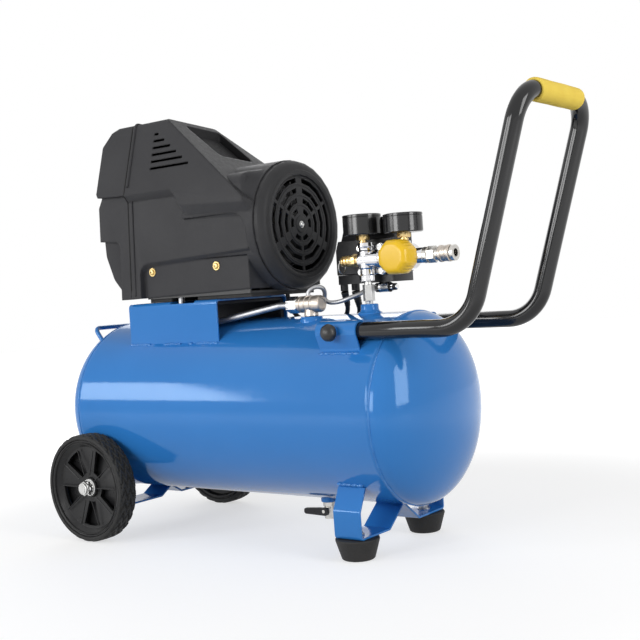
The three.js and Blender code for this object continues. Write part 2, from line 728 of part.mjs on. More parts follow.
// end cover: the crown and flanks run on to a rounded rear wall; its lower rear corner is scooped away
function endCoverSolid(inward) {
  const open = inward > 0 ? 20 : 0;
  const front = seamPlane - gap + open;
  const back = coverBackX + inward;
  const bottom = flankFoot.z - open;
  const upper = carried('y', outline([
    [front, flankTop.z - 5 + inward, 0], [front, roofRidge.z + 30, 0], [-205, roofRidge.z - 2.3 - inward, 0],
    [-217 + inward, roofRidge.z - 6.7 - inward, 4],
    [back + 2.5, roofRidge.z - 26.7 - inward / 2, 4],
    [back + 2.5, flankTop.z + 3 + inward, 3], [-229, flankTop.z - 3 + inward, 0],
  ], 2), -120, 120).intersect(carried('x', crownSection(inward), -400, 200));
  const flankLine = [
    new THREE.Vector2(-flankFoot.y + inward, bottom), new THREE.Vector2(-flankTop.y + inward, flankTop.z - inward),
    new THREE.Vector2(flankTop.y - inward, flankTop.z - inward), new THREE.Vector2(flankFoot.y - inward, bottom),
  ];
  const side = carried('y', outline([
    [front, bottom, 0], [front, flankTop.z + 10, 0], [-228 + inward, flankTop.z + 10, 0], [-228 + inward, flankTop.z - 4, 0],
    [back, flankTop.z - 19, 4], [back, motorZ + inward, 0], [-193 + inward, motorZ - 4 + inward, 7],
    [-193 + inward, bottom, 0],
  ], 2), -120, 120);
  const middle = carried('x', flankLine, -300, -100).intersect(side);
  const scoop = carried('y', outline([
    [front, bottom, 0], [front, motorZ + 18, 0], [-232 + inward, motorZ + 18, 0], [-230 + inward, motorZ - 23, 20],
    [-216 + inward, motorZ - 59, 25], [-199 + inward, motorZ - 78, 8], [-194 + inward, bottom, 0],
  ], 2), -panelY + inward, panelY - inward);
  const corner = 6;
  const plan = carried('z', outline([
    [front, -120, 0], [front, 120, 0], [-205, 120, 0], [back, 74 - inward, corner], [back, -81 + inward, corner],
    [-228, -120 + inward, 0],
  ], 2), flankFoot.z - 50, roofRidge.z + 90);
  return join(upper, middle, scoop).intersect(plan);
}

function rearLouvres() {
  return Array.from({ length: 5 }, (_, i) => {
    const z = motorZ + 24 + 14 * i;
    return box(coverBackX - 5, coverBackX + 8, -42, 42, z, z + 4);
  });
}

part('shroud_end_cover', cut(endCoverSolid(0), endCoverSolid(wall), ...rearLouvres()), 'plastic');

// fan cover: a cup with a sunken grille of ringed slots between three broad and three narrow ribs
const grilleFace = 84.5;
const coverFace = 88;
const recessRadius = 69;

function fanCover() {
  const lipRadius = drumRadius - wall - gap;
  const cup = turned('x', [
    [grilleFace, 0], [grilleFace, recessRadius - 0.5], [coverFace, recessRadius + 0.5], [coverFace, 80],
    [coverFace - 1.5, 84.5], [coverFace - 5, 88], [78.5, 90], [drumEnd + gap, 90], [drumEnd + gap, lipRadius],
    [64, lipRadius], [64, lipRadius - wall], [78, lipRadius - wall], [81, 83.5], [grilleFace - wall, 79],
    [grilleFace - wall, 0],
  ], [0, motorZ], 28);
  const slotWidth = 6.5;
  const tools = [];
  for (const radius of [62, 48, 34, 20]) {
    for (let i = 0; i < 6; i++) {
      const broad = 90 + 120 * Math.ceil(i / 2); // the broad rib next to this slot
      const narrow = 30 + 120 * Math.floor((i + 1) / 2);
      const [low, high] = i % 2 === 0 ? [broad, narrow + 120] : [narrow, broad];
      const margin = (half) => Math.asin(half / radius) / degrees;
      const from = low + margin(i % 2 === 0 ? 6.5 : 2.5);
      const to = high - margin(i % 2 === 0 ? 2.5 : 6.5);
      if (to - from < 8) continue;
      tools.push(sector('x', radius - slotWidth / 2, radius + slotWidth / 2, from, to,
        grilleFace - wall - 1, grilleFace + 1, [0, motorZ], Math.max(2, Math.round(radius / 20))));
    }
  }
  return cut(cup, ...tools);
}
part('fan_cover', fanCover(), 'plastic');

// ---------- motor and pump ----------

const tubeEntry = { x: -95, y: -66 };
const leadEntry = { x: 4, y: 60 };
const portY = -58; // outlet port of the cylinder head

function motorBase() {
  const flangeY = panelY - wall - gap;
  const frontX = panelEndX - wall - gap;
  const plate = box(-168, frontX, -60, 60, baseZ, baseZ + sheet);
  const tray = box(-150, frontX, -flangeY, flangeY, baseZ, baseZ + sheet);
  const flange = box(-150, frontX, flangeY - sheet, flangeY, baseZ, motorZ - 40.5);
  const cradle = cut(box(-34, 34, -40, 40, baseZ, motorZ - 49.5), rod('x', statorRadius + gap, -50, 50, [0, motorZ], 24));
  const tubeHole = rod('z', 7, baseZ - 10, baseZ + 10, [tubeEntry.x, tubeEntry.y], 12);
  const leadHole = rod('z', 5, baseZ - 10, baseZ + 10, [leadEntry.x, leadEntry.y], 12);
  return cut(join(plate, tray, flange, mirrorY(flange), cradle), tubeHole, leadHole);
}

const headZ = motorZ + 74.5; // joint face of the cylinder head

function pumpBlock() {
  const crankcase = box(pumpX - 42, -statorHalf - gap, -44, 44, baseZ + sheet + gap, headZ - 38);
  const liner = rod('z', 36, headZ - 46, headZ + 4, [pumpX, 0], 20);
  const fins = Array.from({ length: 3 }, (_, i) => headZ - 32 + 11 * i)
    .map((z) => box(pumpX - 40, pumpX + 40, -44, 44, z, z + 3));
  const cap = box(pumpX - 40, pumpX + 40, -46, 46, headZ, headZ + 24);
  const port = box(-104, -86, portY - 9, -44, headZ + 2, headZ + 18);
  const socket = rod('z', 4.75 + gap, headZ - 6, headZ + 12, [tubeEntry.x, portY], 12);
  return cut(join(crankcase, liner, ...fins, cap, port), socket);
}

const statorBody = join(
  rod('x', statorRadius, -statorHalf, statorHalf, [0, motorZ], 24),
  rod('x', 30, statorHalf - 1, statorHalf + 8, [0, motorZ], 20),
);
const shaftBore = rod('x', shaftRadius + gap, 20, 60, [0, motorZ], 20);

part('motor_base', motorBase(), 'castGrey');
part('motor_stator', cut(statorBody, shaftBore), 'castGrey');
part('pump_block', pumpBlock(), 'castGrey');

const shaftEnd = 79.5;
part('rotor_shaft', join(rod('x', shaftRadius, 20 + gap, shaftEnd, [0, motorZ], 20),
  hexagon('x', 13, shaftEnd - 5, shaftEnd, [0, motorZ])), 'zinc');

function coolingFan() {
  const blades = 7;
  const hub = rod('x', 16, 58, 74, [0, motorZ], 20);
  const wings = [];
  for (let i = 0; i < blades; i++) {
    const blade = new THREE.BoxGeometry(2, 26, fanRadius - 12);
    blade.rotateZ(50 * degrees).translate(66, 0, (fanRadius + 12) / 2);
    blade.rotateX((2 * PI * i) / blades).translate(0, 0, motorZ);
    wings.push(solid(blade));
  }
  return cut(join(hub, ...wings), rod('x', shaftRadius + gap, 50, 90, [0, motorZ], 20));
}
part('cooling_fan', coolingFan(), 'plastic');

function rubberMount(x, y) {
  const low = saddleTop + gap;
  const high = baseZ - gap;
  return turned('z', [[low, 0], [low, mountRadius], [low + 2, mountRadius - 0.5], [(low + high) / 2, mountRadius - 2],
    [high - 2, mountRadius - 0.5], [high, mountRadius], [high, 0]], [x, y], 16);
}
mountX.forEach((x, i) => pair(`rubber_mount_${i + 1}`, rubberMount(x, -mountY), 'rubber'));

// ---------- air line ----------

const flareX = 68; // where the discharge tube enters its nut
const dischargeLine = bent([
  [flareX + 12, checkPort.y, valveZ, 0], [flareX - 10, checkPort.y, valveZ, 20], [-31, -50, tankTop + 0.3, 60],
  [-68, -62, tankTop - 3.2, 25], [tubeEntry.x, tubeEntry.y, tankTop - 2.7, 14], [tubeEntry.x, portY, headZ - 36, 60],
  [tubeEntry.x, portY, headZ + 11, 0],
]);
part('discharge_tube', swept(dischargeLine, 4.75, 10), 'aluminium');

// non-return valve: body lying along x with a stem down into its bung and a flare nut on the tube
function checkValve() {
  const { x, y } = checkPort;
  const foot = axisZ + tankRadius * cos(Math.asin(y / tankRadius));
  const along = [y, valveZ];
  const body = join(
    hexagon('x', 22, flareX, 87, along),
    turned('x', [[86, 0], [86, 9.5], [94, 9.5], [95, 10.8], [112, 10.8], [113, 10], [119, 10], [120, 10.8], [130, 10.8],
      [134, 7.5], [134, 0]], along, 18),
    rod('z', 9.5, foot + 3 + gap, valveZ, [x, y], 6),
    rod('z', checkBore - spin, foot - 8, foot + 5, [x, y], 14),
    rod('z', 5, valveZ + 8, valveZ + 12, [x - 3, y], 12),
  );
  return cut(body, rod('x', 4.75 + gap, flareX - 1, flareX + 12 + gap, along, 12));
}
part('check_valve', checkValve(), 'nickel');

const unloaderY = 26;
const unloaderZ = switchBox.z0 - 7;
const unloaderLine = smooth([
  [checkPort.x - 3, checkPort.y, valveZ + 12 + 2 * gap], [checkPort.x - 3, checkPort.y, valveZ + 16],
  [114, -25.5, valveZ + 21], [120, -20, valveZ + 23], [124.5, -14, valveZ + 20.5], [124, -9, valveZ + 14],
  [122, -7, valveZ + 8], [123, -6.5, valveZ + 3.5], [128, -5, valveZ + 0.5], [136, -2.5, valveZ], [146, 0, valveZ + 1.5],
  [157, 4, valveZ + 5], [167, 11, valveZ + 9], [173, 19, unloaderZ - 3], [178, 24.5, unloaderZ - 0.5],
  [182, unloaderY, unloaderZ], [186, unloaderY, unloaderZ],
], 30);
part('unloader_tube', swept(unloaderLine, 3, 8), 'aluminium');

// bleed valve hanging from the switch
function unloaderValve() {
  const line = [unloaderY, unloaderZ];
  return join(
    hexagon('x', 11, 186 + gap, 193, line), rod('x', 7, 192, 210, line, 14), rod('x', 4.8, 209, 219, line, 12),
    rod('z', 5, unloaderZ, switchBox.z0 - gap, [202, unloaderY], 12),
  );
}
part('unloader_valve', unloaderValve(), 'plastic');

const manifoldFoot = lineZ - 29.5;
part('riser_nipple', join(
  rod('z', riserBore - spin, riserBungTop - 14, riserBungTop + 6, [riser.x, riser.y], 16),
  hexagon('z', 14, riserBungTop + 4, manifoldFoot - 4, [riser.x, riser.y]),
  rod('z', 5.4, manifoldFoot - 5, manifoldFoot + 6, [riser.x, riser.y], 16),
), 'zinc');

const manifoldTop = lineZ + 22.5;
const knobFace = -36;
const knobBack = -6;
const knobRim = 24;
const backFlange = switchBox.y0 - gap;

function manifold() {
  const bosses = gauges.map(({ x }) => rod('z', 8.5, lineZ, manifoldTop - 2, [x, 0], 14));
  const body = join(
    rod('z', manifoldRadius, manifoldFoot, lineZ + 17.5, [riser.x, 0], 20),
    rod('x', 12, 174, 283, [0, lineZ], 20),
    rod('y', 18, -2, 16, [regulatorX, lineZ], 24),
    rod('y', 11, 0, backFlange, [riser.x, lineZ], 16),
    carried('y', outline([[riser.x - 24, lineZ - 22.5, 8], [riser.x + 24, lineZ - 22.5, 8],
      [riser.x + 24, lineZ + 22.5, 8], [riser.x - 24, lineZ + 22.5, 8]]),
      backFlange - 5, backFlange),
    ...bosses,
  );
  const knobSpace = rod('y', knobRim + 2 * gap, knobFace, knobBack + gap, [regulatorX, lineZ], 24);
  const bonnet = rod('y', 13.5, -15, 0, [regulatorX, lineZ], 20);
  const holes = gauges.map(({ x }) => rod('z', 5.3, manifoldTop - 14, manifoldTop + 2, [x, 0], 12));
  return cut(join(cut(body, knobSpace), bonnet), ...holes,
    rod('z', 5.4 + spin, manifoldFoot - 5, manifoldFoot + 8, [riser.x, 0], 16),
    rod('x', 6.6, 168, 184, [0, lineZ], 14), rod('x', 6.6, 277, 290, [0, lineZ], 14));
}
part('manifold_body', manifold(), 'chrome');

// relief valve screwed into the end of the manifold, with its pull stem and split ring
function safetyValve() {
  const line = [0, lineZ];
  const body = join(
    rod('x', 6.4, 172, 182, line, 14), hexagon('x', 15, 166, 173.7, line),
    rod('x', 6.8, 154, 166, line, 14), rod('x', 7.6, 156, 158, line, 14), rod('x', 7.6, 161, 163, line, 14),
  );
  return cut(body, rod('x', 2.6, 150, 168, line, 12));
}
part('safety_valve', safetyValve(), 'brass');

function safetyRing() {
  const ring = new THREE.TorusGeometry(8, 1, 6, 18).rotateY(PI / 2).translate(149.5, 0, lineZ - 8);
  return join(rod('x', 2.3, 147, 164, [0, lineZ], 12), solid(ring));
}
part('safety_ring', safetyRing(), 'zinc');

// quick coupler: body with an open socket and a sleeve that slides back
const couplerEnd = 328;

function couplerBody() {
  const line = [0, lineZ];
  const body = join(
    rod('x', 6.4, 277.5, 284, line, 14), rod('x', 11, 283 + gap, 289, line, 16), hexagon('x', 19, 289, 300, line),
    rod('x', 8.6, 300, couplerEnd, line, 20), rod('x', 10.4, couplerEnd - 4, couplerEnd, line, 20),
  );
  return cut(body, rod('x', 5.4, 306, couplerEnd + 2, line, 16));
}
part('coupler_body', couplerBody(), 'nickel');

part('coupler_sleeve', turned('x', [
  [305, 8.6 + gap], [305, 10], [306, 11], [309, 11], [310, 10.3], [316, 10.3], [317, 11], [320.5, 11],
  [321.5, 10], [321.5, 8.6 + gap],
], [0, lineZ], 20), 'nickel');

// eight sided regulator knob, a cup over the bonnet
function regulatorKnob() {
  const sides = 8;
  const ringOf = (radius, dip) => Array.from({ length: sides * 3 }, (_, i) => {
    const a = (2 * PI * i) / (sides * 3) + PI / 8;
    const r = i % 3 === 0 ? radius - dip : radius;
    return new THREE.Vector2(regulatorX + r * cos(a), lineZ + r * sin(a));
  });
  const shell = lofted([
    { y: knobFace, points: ringOf(knobRim - 5, 0.8) }, { y: knobFace + 3, points: ringOf(knobRim - 2, 1.6) },
    { y: knobBack - 8, points: ringOf(knobRim, 2.2) }, { y: knobBack, points: ringOf(knobRim, 0.6) },
  ]);
  return cut(shell, rod('y', 13.5 + gap, -15.6, knobBack + 1, [regulatorX, lineZ], 20));
}
part('regulator_knob', regulatorKnob(), 'yellow');

// gauges lying face up: cup on its threaded stem, window and needle
function gaugeCase({ x, bottom, height }) {
  const top = bottom + height;
  const rim = dialRadius - 2.4;
  const stem = join(
    rod('z', 5.1, manifoldTop - 12, bottom + 1, [x, 0], 12), hexagon('z', 13, manifoldTop + 1.6, bottom + 1, [x, 0]),
  );
  return stem.add(turned('z', [
    [bottom, 0], [bottom, dialRadius - 1], [bottom + 1, dialRadius], [top, dialRadius], [top, rim], [top - 2.6, rim],
    [top - 2.6, rim - 1.2], [top - 9, rim - 1.2], [top - 9, 0],
  ], [x, 0], 24));
}

function gaugeNeedle({ x, bottom, height }) {
  const level = bottom + height - 6.2;
  const blade = carried('z', outline([[x - 6, -1.2, 0], [x + 17, -0.4, 0], [x + 17, 0.4, 0], [x - 6, 1.2, 0]]),
    level, level + 0.8);
  return join(blade, rod('z', 2.6, level - 2.5, level + 1.2, [x, 0], 12));
}

function gaugeWindow({ x, bottom, height }) {
  const top = bottom + height;
  return rod('z', dialRadius - 2.4 - gap, top - 2.6 + gap, top - 0.6, [x, 0], 24);
}

for (const gauge of gauges) {
  part(`gauge_case_${gauge.name}`, gaugeCase(gauge), 'plastic');
  part(`gauge_needle_${gauge.name}`, gaugeNeedle(gauge), 'red');
  part(`gauge_window_${gauge.name}`, gaugeWindow(gauge), 'clear');
}

// ---------- pressure switch ----------

function switchBase() {
  const { x0, x1, y0, y1, z0, split } = switchBox;
  const tray = carried('z', outline([[x0, y0, 4], [x1, y0, 4], [x1, y1, 4], [x0, y1, 4]], 2), z0, split - gap);
  const lug = box(riser.x - 18, riser.x + 18, y0, y0 + 10, z0 + 4, split - gap);
  const glands = [mainsGland, motorGland];
  const leads = [mainsRadius, motorLeadRadius];
  const nuts = glands.map((place, i) => rod('z', leads[i] + 2.2, z0 - glandDrop, z0 + 1, place, 12));
  const holes = glands.map((place, i) => rod('z', leads[i] + 2 * gap, z0 - glandDrop - 3, z0 + 6, place, 12));
  return cut(join(tray, lug, ...nuts), ...holes);
}

function switchCover() {
  const { x0, x1, y0, y1, split, z1 } = switchBox;
  const side = outline([[x0, split, 0], [x1, split, 0], [x1, z1, 8], [x0 + 14, z1, 8], [x0, lineZ + 15.5, 6]], 3);
  const body = cut(carried('y', side, y0, y1), box(x0 - 1, x1 + 1, y0 - 1, dialRadius + 2, lineZ + 28.5, z1 + 1));
  return cut(body, rod('y', 4 + spin, y1 - 8, y1 + 2, leverPivot, 16));
}

part('pressure_switch_base', switchBase(), 'plastic');
part('pressure_switch_cover', switchCover(), 'plastic');

// on and off lever on the far side of the switch
const [leverX, leverHeight] = leverPivot;
part('switch_lever', join(
  rod('y', 4, switchBox.y1 - 7.5, switchBox.y1 + 3, leverPivot, 16),
  rod('y', 7, switchBox.y1 + gap, switchBox.y1 + 3, leverPivot, 16),
  carried('y', outline([
    [leverX - 4, leverHeight, 0], [leverX + 4, leverHeight, 0], [leverX + 3, leverHeight + 24, 3],
    [leverX - 3, leverHeight + 24, 3],
  ], 2), switchBox.y1 + gap, switchBox.y1 + 3),
), 'red');

// ---------- drain ----------

const drainBottom = tankBottom - drainBungDrop;
const leverZ = tankBottom - 19.7;

function drainValve() {
  const { x, y } = drain;
  const body = join(
    rod('z', drainBore - spin, drainBottom - 1, drainBottom + 10, [x, y], 14),
    hexagon('z', 15, drainBottom - 6, drainBottom - gap, [x, y]),
    rod('z', 7.5, leverZ - 9, drainBottom - 5, [x, y], 16),
    hexagon('z', 13, leverZ - 12, leverZ - 8, [x, y]),
    rod('y', 5, y - 10, y, [x, leverZ], 14),
    rod('y', 2.4, y - 15, y - 9, [x, leverZ], 12),
  );
  return cut(body, rod('z', 3, leverZ - 14, leverZ - 4, [x, y], 10));
}
part('drain_valve', drainValve(), 'nickel');

function drainLever() {
  const { x, y } = drain;
  const back = y - 10 - gap;
  const plate = outline([[x + 7, leverZ + 5, 4], [x - 8, leverZ + 5, 3], [x - 34, leverZ + 3, 3], [x - 34, leverZ - 5, 3],
    [x + 7, leverZ - 6, 4]], 2);
  return cut(carried('y', plate, back - 4.5, back), rod('y', 2.4 + spin, back - 6, back + 1, [x, leverZ], 12));
}
part('drain_lever', drainLever(), 'plastic');

// ---------- cords ----------

// a point beside the tank, as far round it from the top as an arc of that length, for a lead that lies on it
function onTank(x, arc, radius) {
  const reach = tankRadius + radius + 2 * gap;
  return [x, reach * sin(arc / reach), axisZ + reach * cos(arc / reach)];
}

const motorRun = 60; // how far round from the top of the tank the motor lead runs
const motorLine = [
  [...motorGland, switchBox.z0 - 1], [...motorGland, switchBox.z0 - glandDrop], [130.5, 31.5, tankTop + 22.8],
  [128, 37.5, tankTop + 13.8], [122.5, 45, tankTop + 4.3], [114, 52, tankTop - 3.2], [102, 56, tankTop - 7.2], onTank(86, motorRun, motorLeadRadius),
  onTank(60, motorRun, motorLeadRadius), [40, 57.6, tankTop - 8.7], [26, 57.9, tankTop - 4.2],
  [13.5, 58.7, tankTop + 5.8], [6.4, 59.6, baseZ - 19], [leadEntry.x, leadEntry.y, baseZ - 5],
  [leadEntry.x, leadEntry.y, baseZ + 10], [leadEntry.x, 56, motorZ - 63.5], [leadEntry.x, 46.5, motorZ - 46.5],
];
part('motor_lead', swept(smooth(motorLine, 34), motorLeadRadius, 8), 'rubber', { cord: true });

// mains lead: back along the tank inside the handle tube, over its side, down to the floor and off to the coil
const turnX = 82; // where the lead starts to turn down, behind the end of the handle tube when that is pushed in
const turnRadius = 37;
const dropX = turnX - turnRadius;
const dropY = tankRadius + mainsRadius + 2;
const floorBend = 42;
const heading = new THREE.Vector2(-0.58, 0.81).normalize();
const floorLevel = mainsRadius + 3 * gap;
const quarter = (steps) => Array.from({ length: steps + 1 }, (_, i) => ((PI / 2) * i) / steps);
const alongFloor = (distance, z) => [dropX + heading.x * distance, dropY + heading.y * distance, z];
const besideCoil = new THREE.Vector2(coil.x, coil.y)
  .add(new THREE.Vector2(-heading.y, heading.x).multiplyScalar(coilOuter - mainsRadius))
  .sub(new THREE.Vector2(dropX, dropY)).dot(heading);
const leadEnd = besideCoil - Math.sqrt((coilOuter + mainsRadius + gap) ** 2 - (coilOuter - mainsRadius) ** 2) + 1.7;
const mainsLine = [
  [...mainsGland, switchBox.z0 - 1], [...mainsGland, switchBox.z0 - glandDrop - 1], [140.5, 45, tankTop + 20.8],
  [138, 52.5, tankTop + 8.8], [131.5, 60.5, tankTop - 2.2], [120.5, 66.3, tankTop - 9.7],
  [107, 68.8, tankTop - 13.7], onTank(94, 73, mainsRadius),
  ...quarter(5).map((a) => onTank(turnX - turnRadius * sin(a), 73 + turnRadius * (1 - cos(a)), mainsRadius)),
  ...[128, 148, 168, 188].map((arc) => onTank(dropX, arc, mainsRadius)),
  ...[1, 0.8, 0.57, 0.33, 0.18].map((share) => [dropX, dropY, floorBend + (axisZ - 6 - floorBend) * share]),
  ...quarter(4).map((a) => alongFloor(floorBend * (1 - cos(a)), floorLevel + floorBend * (1 - sin(a)))),
  ...[0.3, 0.65, 1].map((share) => alongFloor(floorBend + (leadEnd - floorBend) * share, floorLevel)),
];
part('mains_lead', swept(smooth(mainsLine, 56), mainsRadius, 8), 'rubber', { cord: true });

const coilInner = 2 * coil.middle - coilOuter;
part('mains_coil', turned('z', [
  [gap, coilInner + 2], [gap, coilOuter - 2], [gap + mainsRadius, coilOuter], [coilHeight - mainsRadius, coilOuter],
  [coilHeight, coilOuter - 2], [coilHeight, coilInner + 2], [coilHeight - mainsRadius, coilInner],
  [gap + mainsRadius, coilInner],
], [coil.x, coil.y], 24), 'rubber', { cord: true });

// moulded plug behind the coil, lying on its side; its cord end faces the coil's outermost turn
function plug() {
  const x = coil.x - coilOuter + mainsRadius;
  const reliefRadius = 5.5;
  const reliefLength = 20;
  const nearest = coil.x - x - reliefRadius;
  const start = coil.y + Math.sqrt(coilOuter ** 2 - nearest ** 2) + gap;
  const back = start + reliefLength;
  const body = carried('z', outline([
    [x - 7, back - 1, 3], [x + 7, back - 1, 3], [x + 10, back + 26, 3], [x - 10, back + 26, 3],
  ], 2), gap, 24);
  const level = coilHeight - mainsRadius;
  const relief = rod('y', reliefRadius, start, back, [x, level], 12);
  const blades = [-6, 6].map((side) => box(x + side - 0.8, x + side + 0.8, back + 25, back + 43, 11, 17.5));
  return join(body, relief, ...blades, rod('y', 2.4, back + 25, back + 45, [x, 6], 10));
}
part('mains_plug', plug(), 'rubber', { cord: true });

// ---------- origin: bottom centre of the compressor, without its free cord ----------

const bounds = new THREE.Box3();
group.updateMatrixWorld(true);
for (const mesh of group.children) {
  if (!cordNames.has(mesh.name)) bounds.expandByObject(mesh);
}
const centre = bounds.getCenter(new THREE.Vector3());
group.position.set(-centre.x, -centre.y, -bounds.min.z);

export default group;
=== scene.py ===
"""Finishes, cords and small fittings of a wheeled air compressor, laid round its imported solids.

Places measured on the machine are in millimetres from the middle of the tank: x along the tank towards the
handle, y across it, z up from the floor. spot() turns them into metres in the frame.
"""

import math

import bmesh
import bpy
import numpy as np
from mathutils import Matrix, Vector
from mathutils.bvhtree import BVHTree


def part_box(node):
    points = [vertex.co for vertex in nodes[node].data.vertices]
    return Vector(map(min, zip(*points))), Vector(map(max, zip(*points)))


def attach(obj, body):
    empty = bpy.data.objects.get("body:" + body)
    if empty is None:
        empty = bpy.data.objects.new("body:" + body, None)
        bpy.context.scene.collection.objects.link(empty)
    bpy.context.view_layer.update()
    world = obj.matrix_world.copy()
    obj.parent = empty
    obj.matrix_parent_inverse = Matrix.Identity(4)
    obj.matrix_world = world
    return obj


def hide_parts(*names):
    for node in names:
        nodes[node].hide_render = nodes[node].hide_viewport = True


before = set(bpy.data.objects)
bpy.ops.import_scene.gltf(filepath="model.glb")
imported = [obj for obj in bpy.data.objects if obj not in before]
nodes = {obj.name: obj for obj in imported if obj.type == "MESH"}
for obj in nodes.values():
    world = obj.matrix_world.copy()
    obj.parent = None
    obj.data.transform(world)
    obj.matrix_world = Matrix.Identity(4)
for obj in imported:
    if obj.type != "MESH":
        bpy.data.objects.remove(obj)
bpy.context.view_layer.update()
barrel_low, barrel_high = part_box("tank_barrel")

MM = 0.001
TANK_MIDDLE = np.array([(barrel_low.x + barrel_high.x) / 2, 0.0, 0.0])
SIDES = (("left", -1), ("right", 1))


def spot(points):
    """Millimetres from the middle of the tank to metres: scale by a thousandth, then shift along x."""
    return np.asarray(points, float) * MM + TANK_MIDDLE


# ---------- measures, in millimetres ----------

TANK_RADIUS = 127.0
TANK_AXIS_Z = 185.7
TANK_TOP = TANK_AXIS_Z + TANK_RADIUS
TANK_LOW = TANK_AXIS_Z - TANK_RADIUS
SEAM_X = 263.0
DOME_DEPTH = 56.0
MOTOR_Z = 441.5
LINE_Z = 384.5
WHEEL_X = -227.3
WHEEL_RADIUS = 79.2
WHEEL_FACE = 158.7
WHEEL_WIDTH = 30.8
RIM_RADIUS = 69.5
HANDLE_Y = 90.0
HANDLE_Z = 293.4
TUBE_RADIUS = 11.1
MAINS_RADIUS = 3.7
MOTOR_LEAD_RADIUS = 3.3
WELD_DROP = 2.6

# ---------- surfaces ----------


def skin(rings, caps=(True, True), close_along=False):
    """Quads between neighbouring rings of a (rings, points, 3) grid, with a flat face on each capped end."""
    rings = np.asarray(rings, float)
    count, around = rings.shape[:2]
    index = np.arange(count * around).reshape(count, around)
    if close_along:
        index = np.vstack([index, index[:1]])
    index = np.hstack([index, index[:, :1]])
    quads = np.stack([index[:-1, :-1], index[:-1, 1:], index[1:, 1:], index[1:, :-1]], -1).reshape(-1, 4)
    faces = quads.tolist()
    if caps[0] and not close_along:
        faces.append(index[0, :around][::-1].tolist())
    if caps[1] and not close_along:
        faces.append(index[-1, :around].tolist())
    return rings.reshape(-1, 3), faces


def together(surfaces):
    """Several surfaces in one mesh: points stacked, face numbers moved up by the points before them."""
    points, faces, start = [], [], 0
    for part_points, part_faces in surfaces:
        points.append(part_points)
        faces += [[start + i for i in face] for face in part_faces]
        start += len(part_points)
    return np.vstack(points), faces


def turns(count):
    """Angles of evenly spaced steps round one full turn."""
    return np.arange(count) * 2 * np.pi / count


AXES = {axis: np.roll(np.eye(3), -place, axis=0) for place, axis in enumerate("xyz")}


def lathe(profile, axis, centre, sides=48, caps=(True, True), swell=1.0):
    """A profile of (place along the axis, radius) turned round the axis: radius times cosine and sine of the
    turn. Swell multiplies the radius, as one number or as one for each ring and step of the turn."""
    along, first, second = AXES[axis]
    profile = np.asarray(profile, float)
    turn = turns(sides)
    spoke = np.cos(turn)[:, None] * first + np.sin(turn)[:, None] * second
    radius = (profile[:, 1, None] * swell)[..., None]
    rings = np.asarray(centre, float) + profile[:, 0, None, None] * along + radius * spoke
    return skin(rings, caps)


def arc(centre, radius, start, end, count):
    """Points (u, v) on a circle from one angle in degrees to another."""
    a = np.radians(np.linspace(start, end, count))
    return np.stack([centre[0] + radius * np.cos(a), centre[1] + radius * np.sin(a)], -1)


def run_along(path):
    """The length of a path from its start to each of its points."""
    return np.concatenate([[0], np.cumsum(np.linalg.norm(np.diff(path, axis=0), axis=1))])


def at_runs(path, runs):
    """The points of a path at the given lengths from its start."""
    own = run_along(path)
    return np.stack([np.interp(runs, own, path[:, i]) for i in range(3)], -1)


def evened(path, step):
    """The same path with a point every step along it."""
    path = np.asarray(path, float)
    whole = run_along(path)[-1]
    return at_runs(path, np.linspace(0, whole, int(whole / step) + 2))


def rounded_path(corners, steps):
    """Straight runs joined by arcs: corner (x, y, z, radius), each bend tangent to both of its runs and given
    as a number of points."""
    corners = np.asarray(corners, float)
    path = [corners[0, :3]]
    for before, here, after in zip(corners[:-2], corners[1:-1], corners[2:]):
        to_before = before[:3] - here[:3]
        to_after = after[:3] - here[:3]
        to_before /= np.linalg.norm(to_before)
        to_after /= np.linalg.norm(to_after)
        half = math.acos(np.clip(to_before @ to_after, -1, 1)) / 2
        middle = (to_before + to_after) / np.linalg.norm(to_before + to_after)
        centre = here[:3] + middle * here[3] / math.sin(half)
        start = here[:3] + to_before * here[3] / math.tan(half) - centre
        end = here[:3] + to_after * here[3] / math.tan(half) - centre
        angle = math.acos(np.clip(start @ end / here[3] ** 2, -1, 1))
        t = np.linspace(0, 1, steps)[:, None]
        path.extend(centre + (np.sin((1 - t) * angle) * start + np.sin(t * angle) * end) / math.sin(angle))
    path.append(corners[-1, :3])
    return np.array(path)


def flowing_path(points, step):
    """A smooth curve through points: centripetal Catmull-Rom, where each knot is the square root of the
    distance on from the last, then evened out to one point every step."""
    points = np.asarray(points, float)
    p = np.vstack([2 * points[0] - points[1], points, 2 * points[-1] - points[-2]])
    knots = np.concatenate([[0], np.cumsum(np.sqrt(np.linalg.norm(np.diff(p, axis=0), axis=1)))])
    k = [knots[i : len(points) - 1 + i][:, None, None] for i in range(4)]
    q = [p[i : len(points) - 1 + i][:, None, :] for i in range(4)]
    t = k[1] + (k[2] - k[1]) * np.linspace(0, 1, 24, endpoint=False)[None, :, None]

    def mix(a, b, ka, kb):
        """A straight blend from a at knot ka to b at knot kb."""
        return a * (kb - t) / (kb - ka) + b * (t - ka) / (kb - ka)

    a = [mix(q[i], q[i + 1], k[i], k[i + 1]) for i in range(3)]
    b = [mix(a[i], a[i + 1], k[i], k[i + 2]) for i in range(2)]
    curve = np.vstack([mix(b[0], b[1], k[1], k[2]).reshape(-1, 3), points[-1:]])
    whole = run_along(curve)[-1]
    return at_runs(curve, np.linspace(0, whole, max(2, int(round(whole / step)) + 1)))


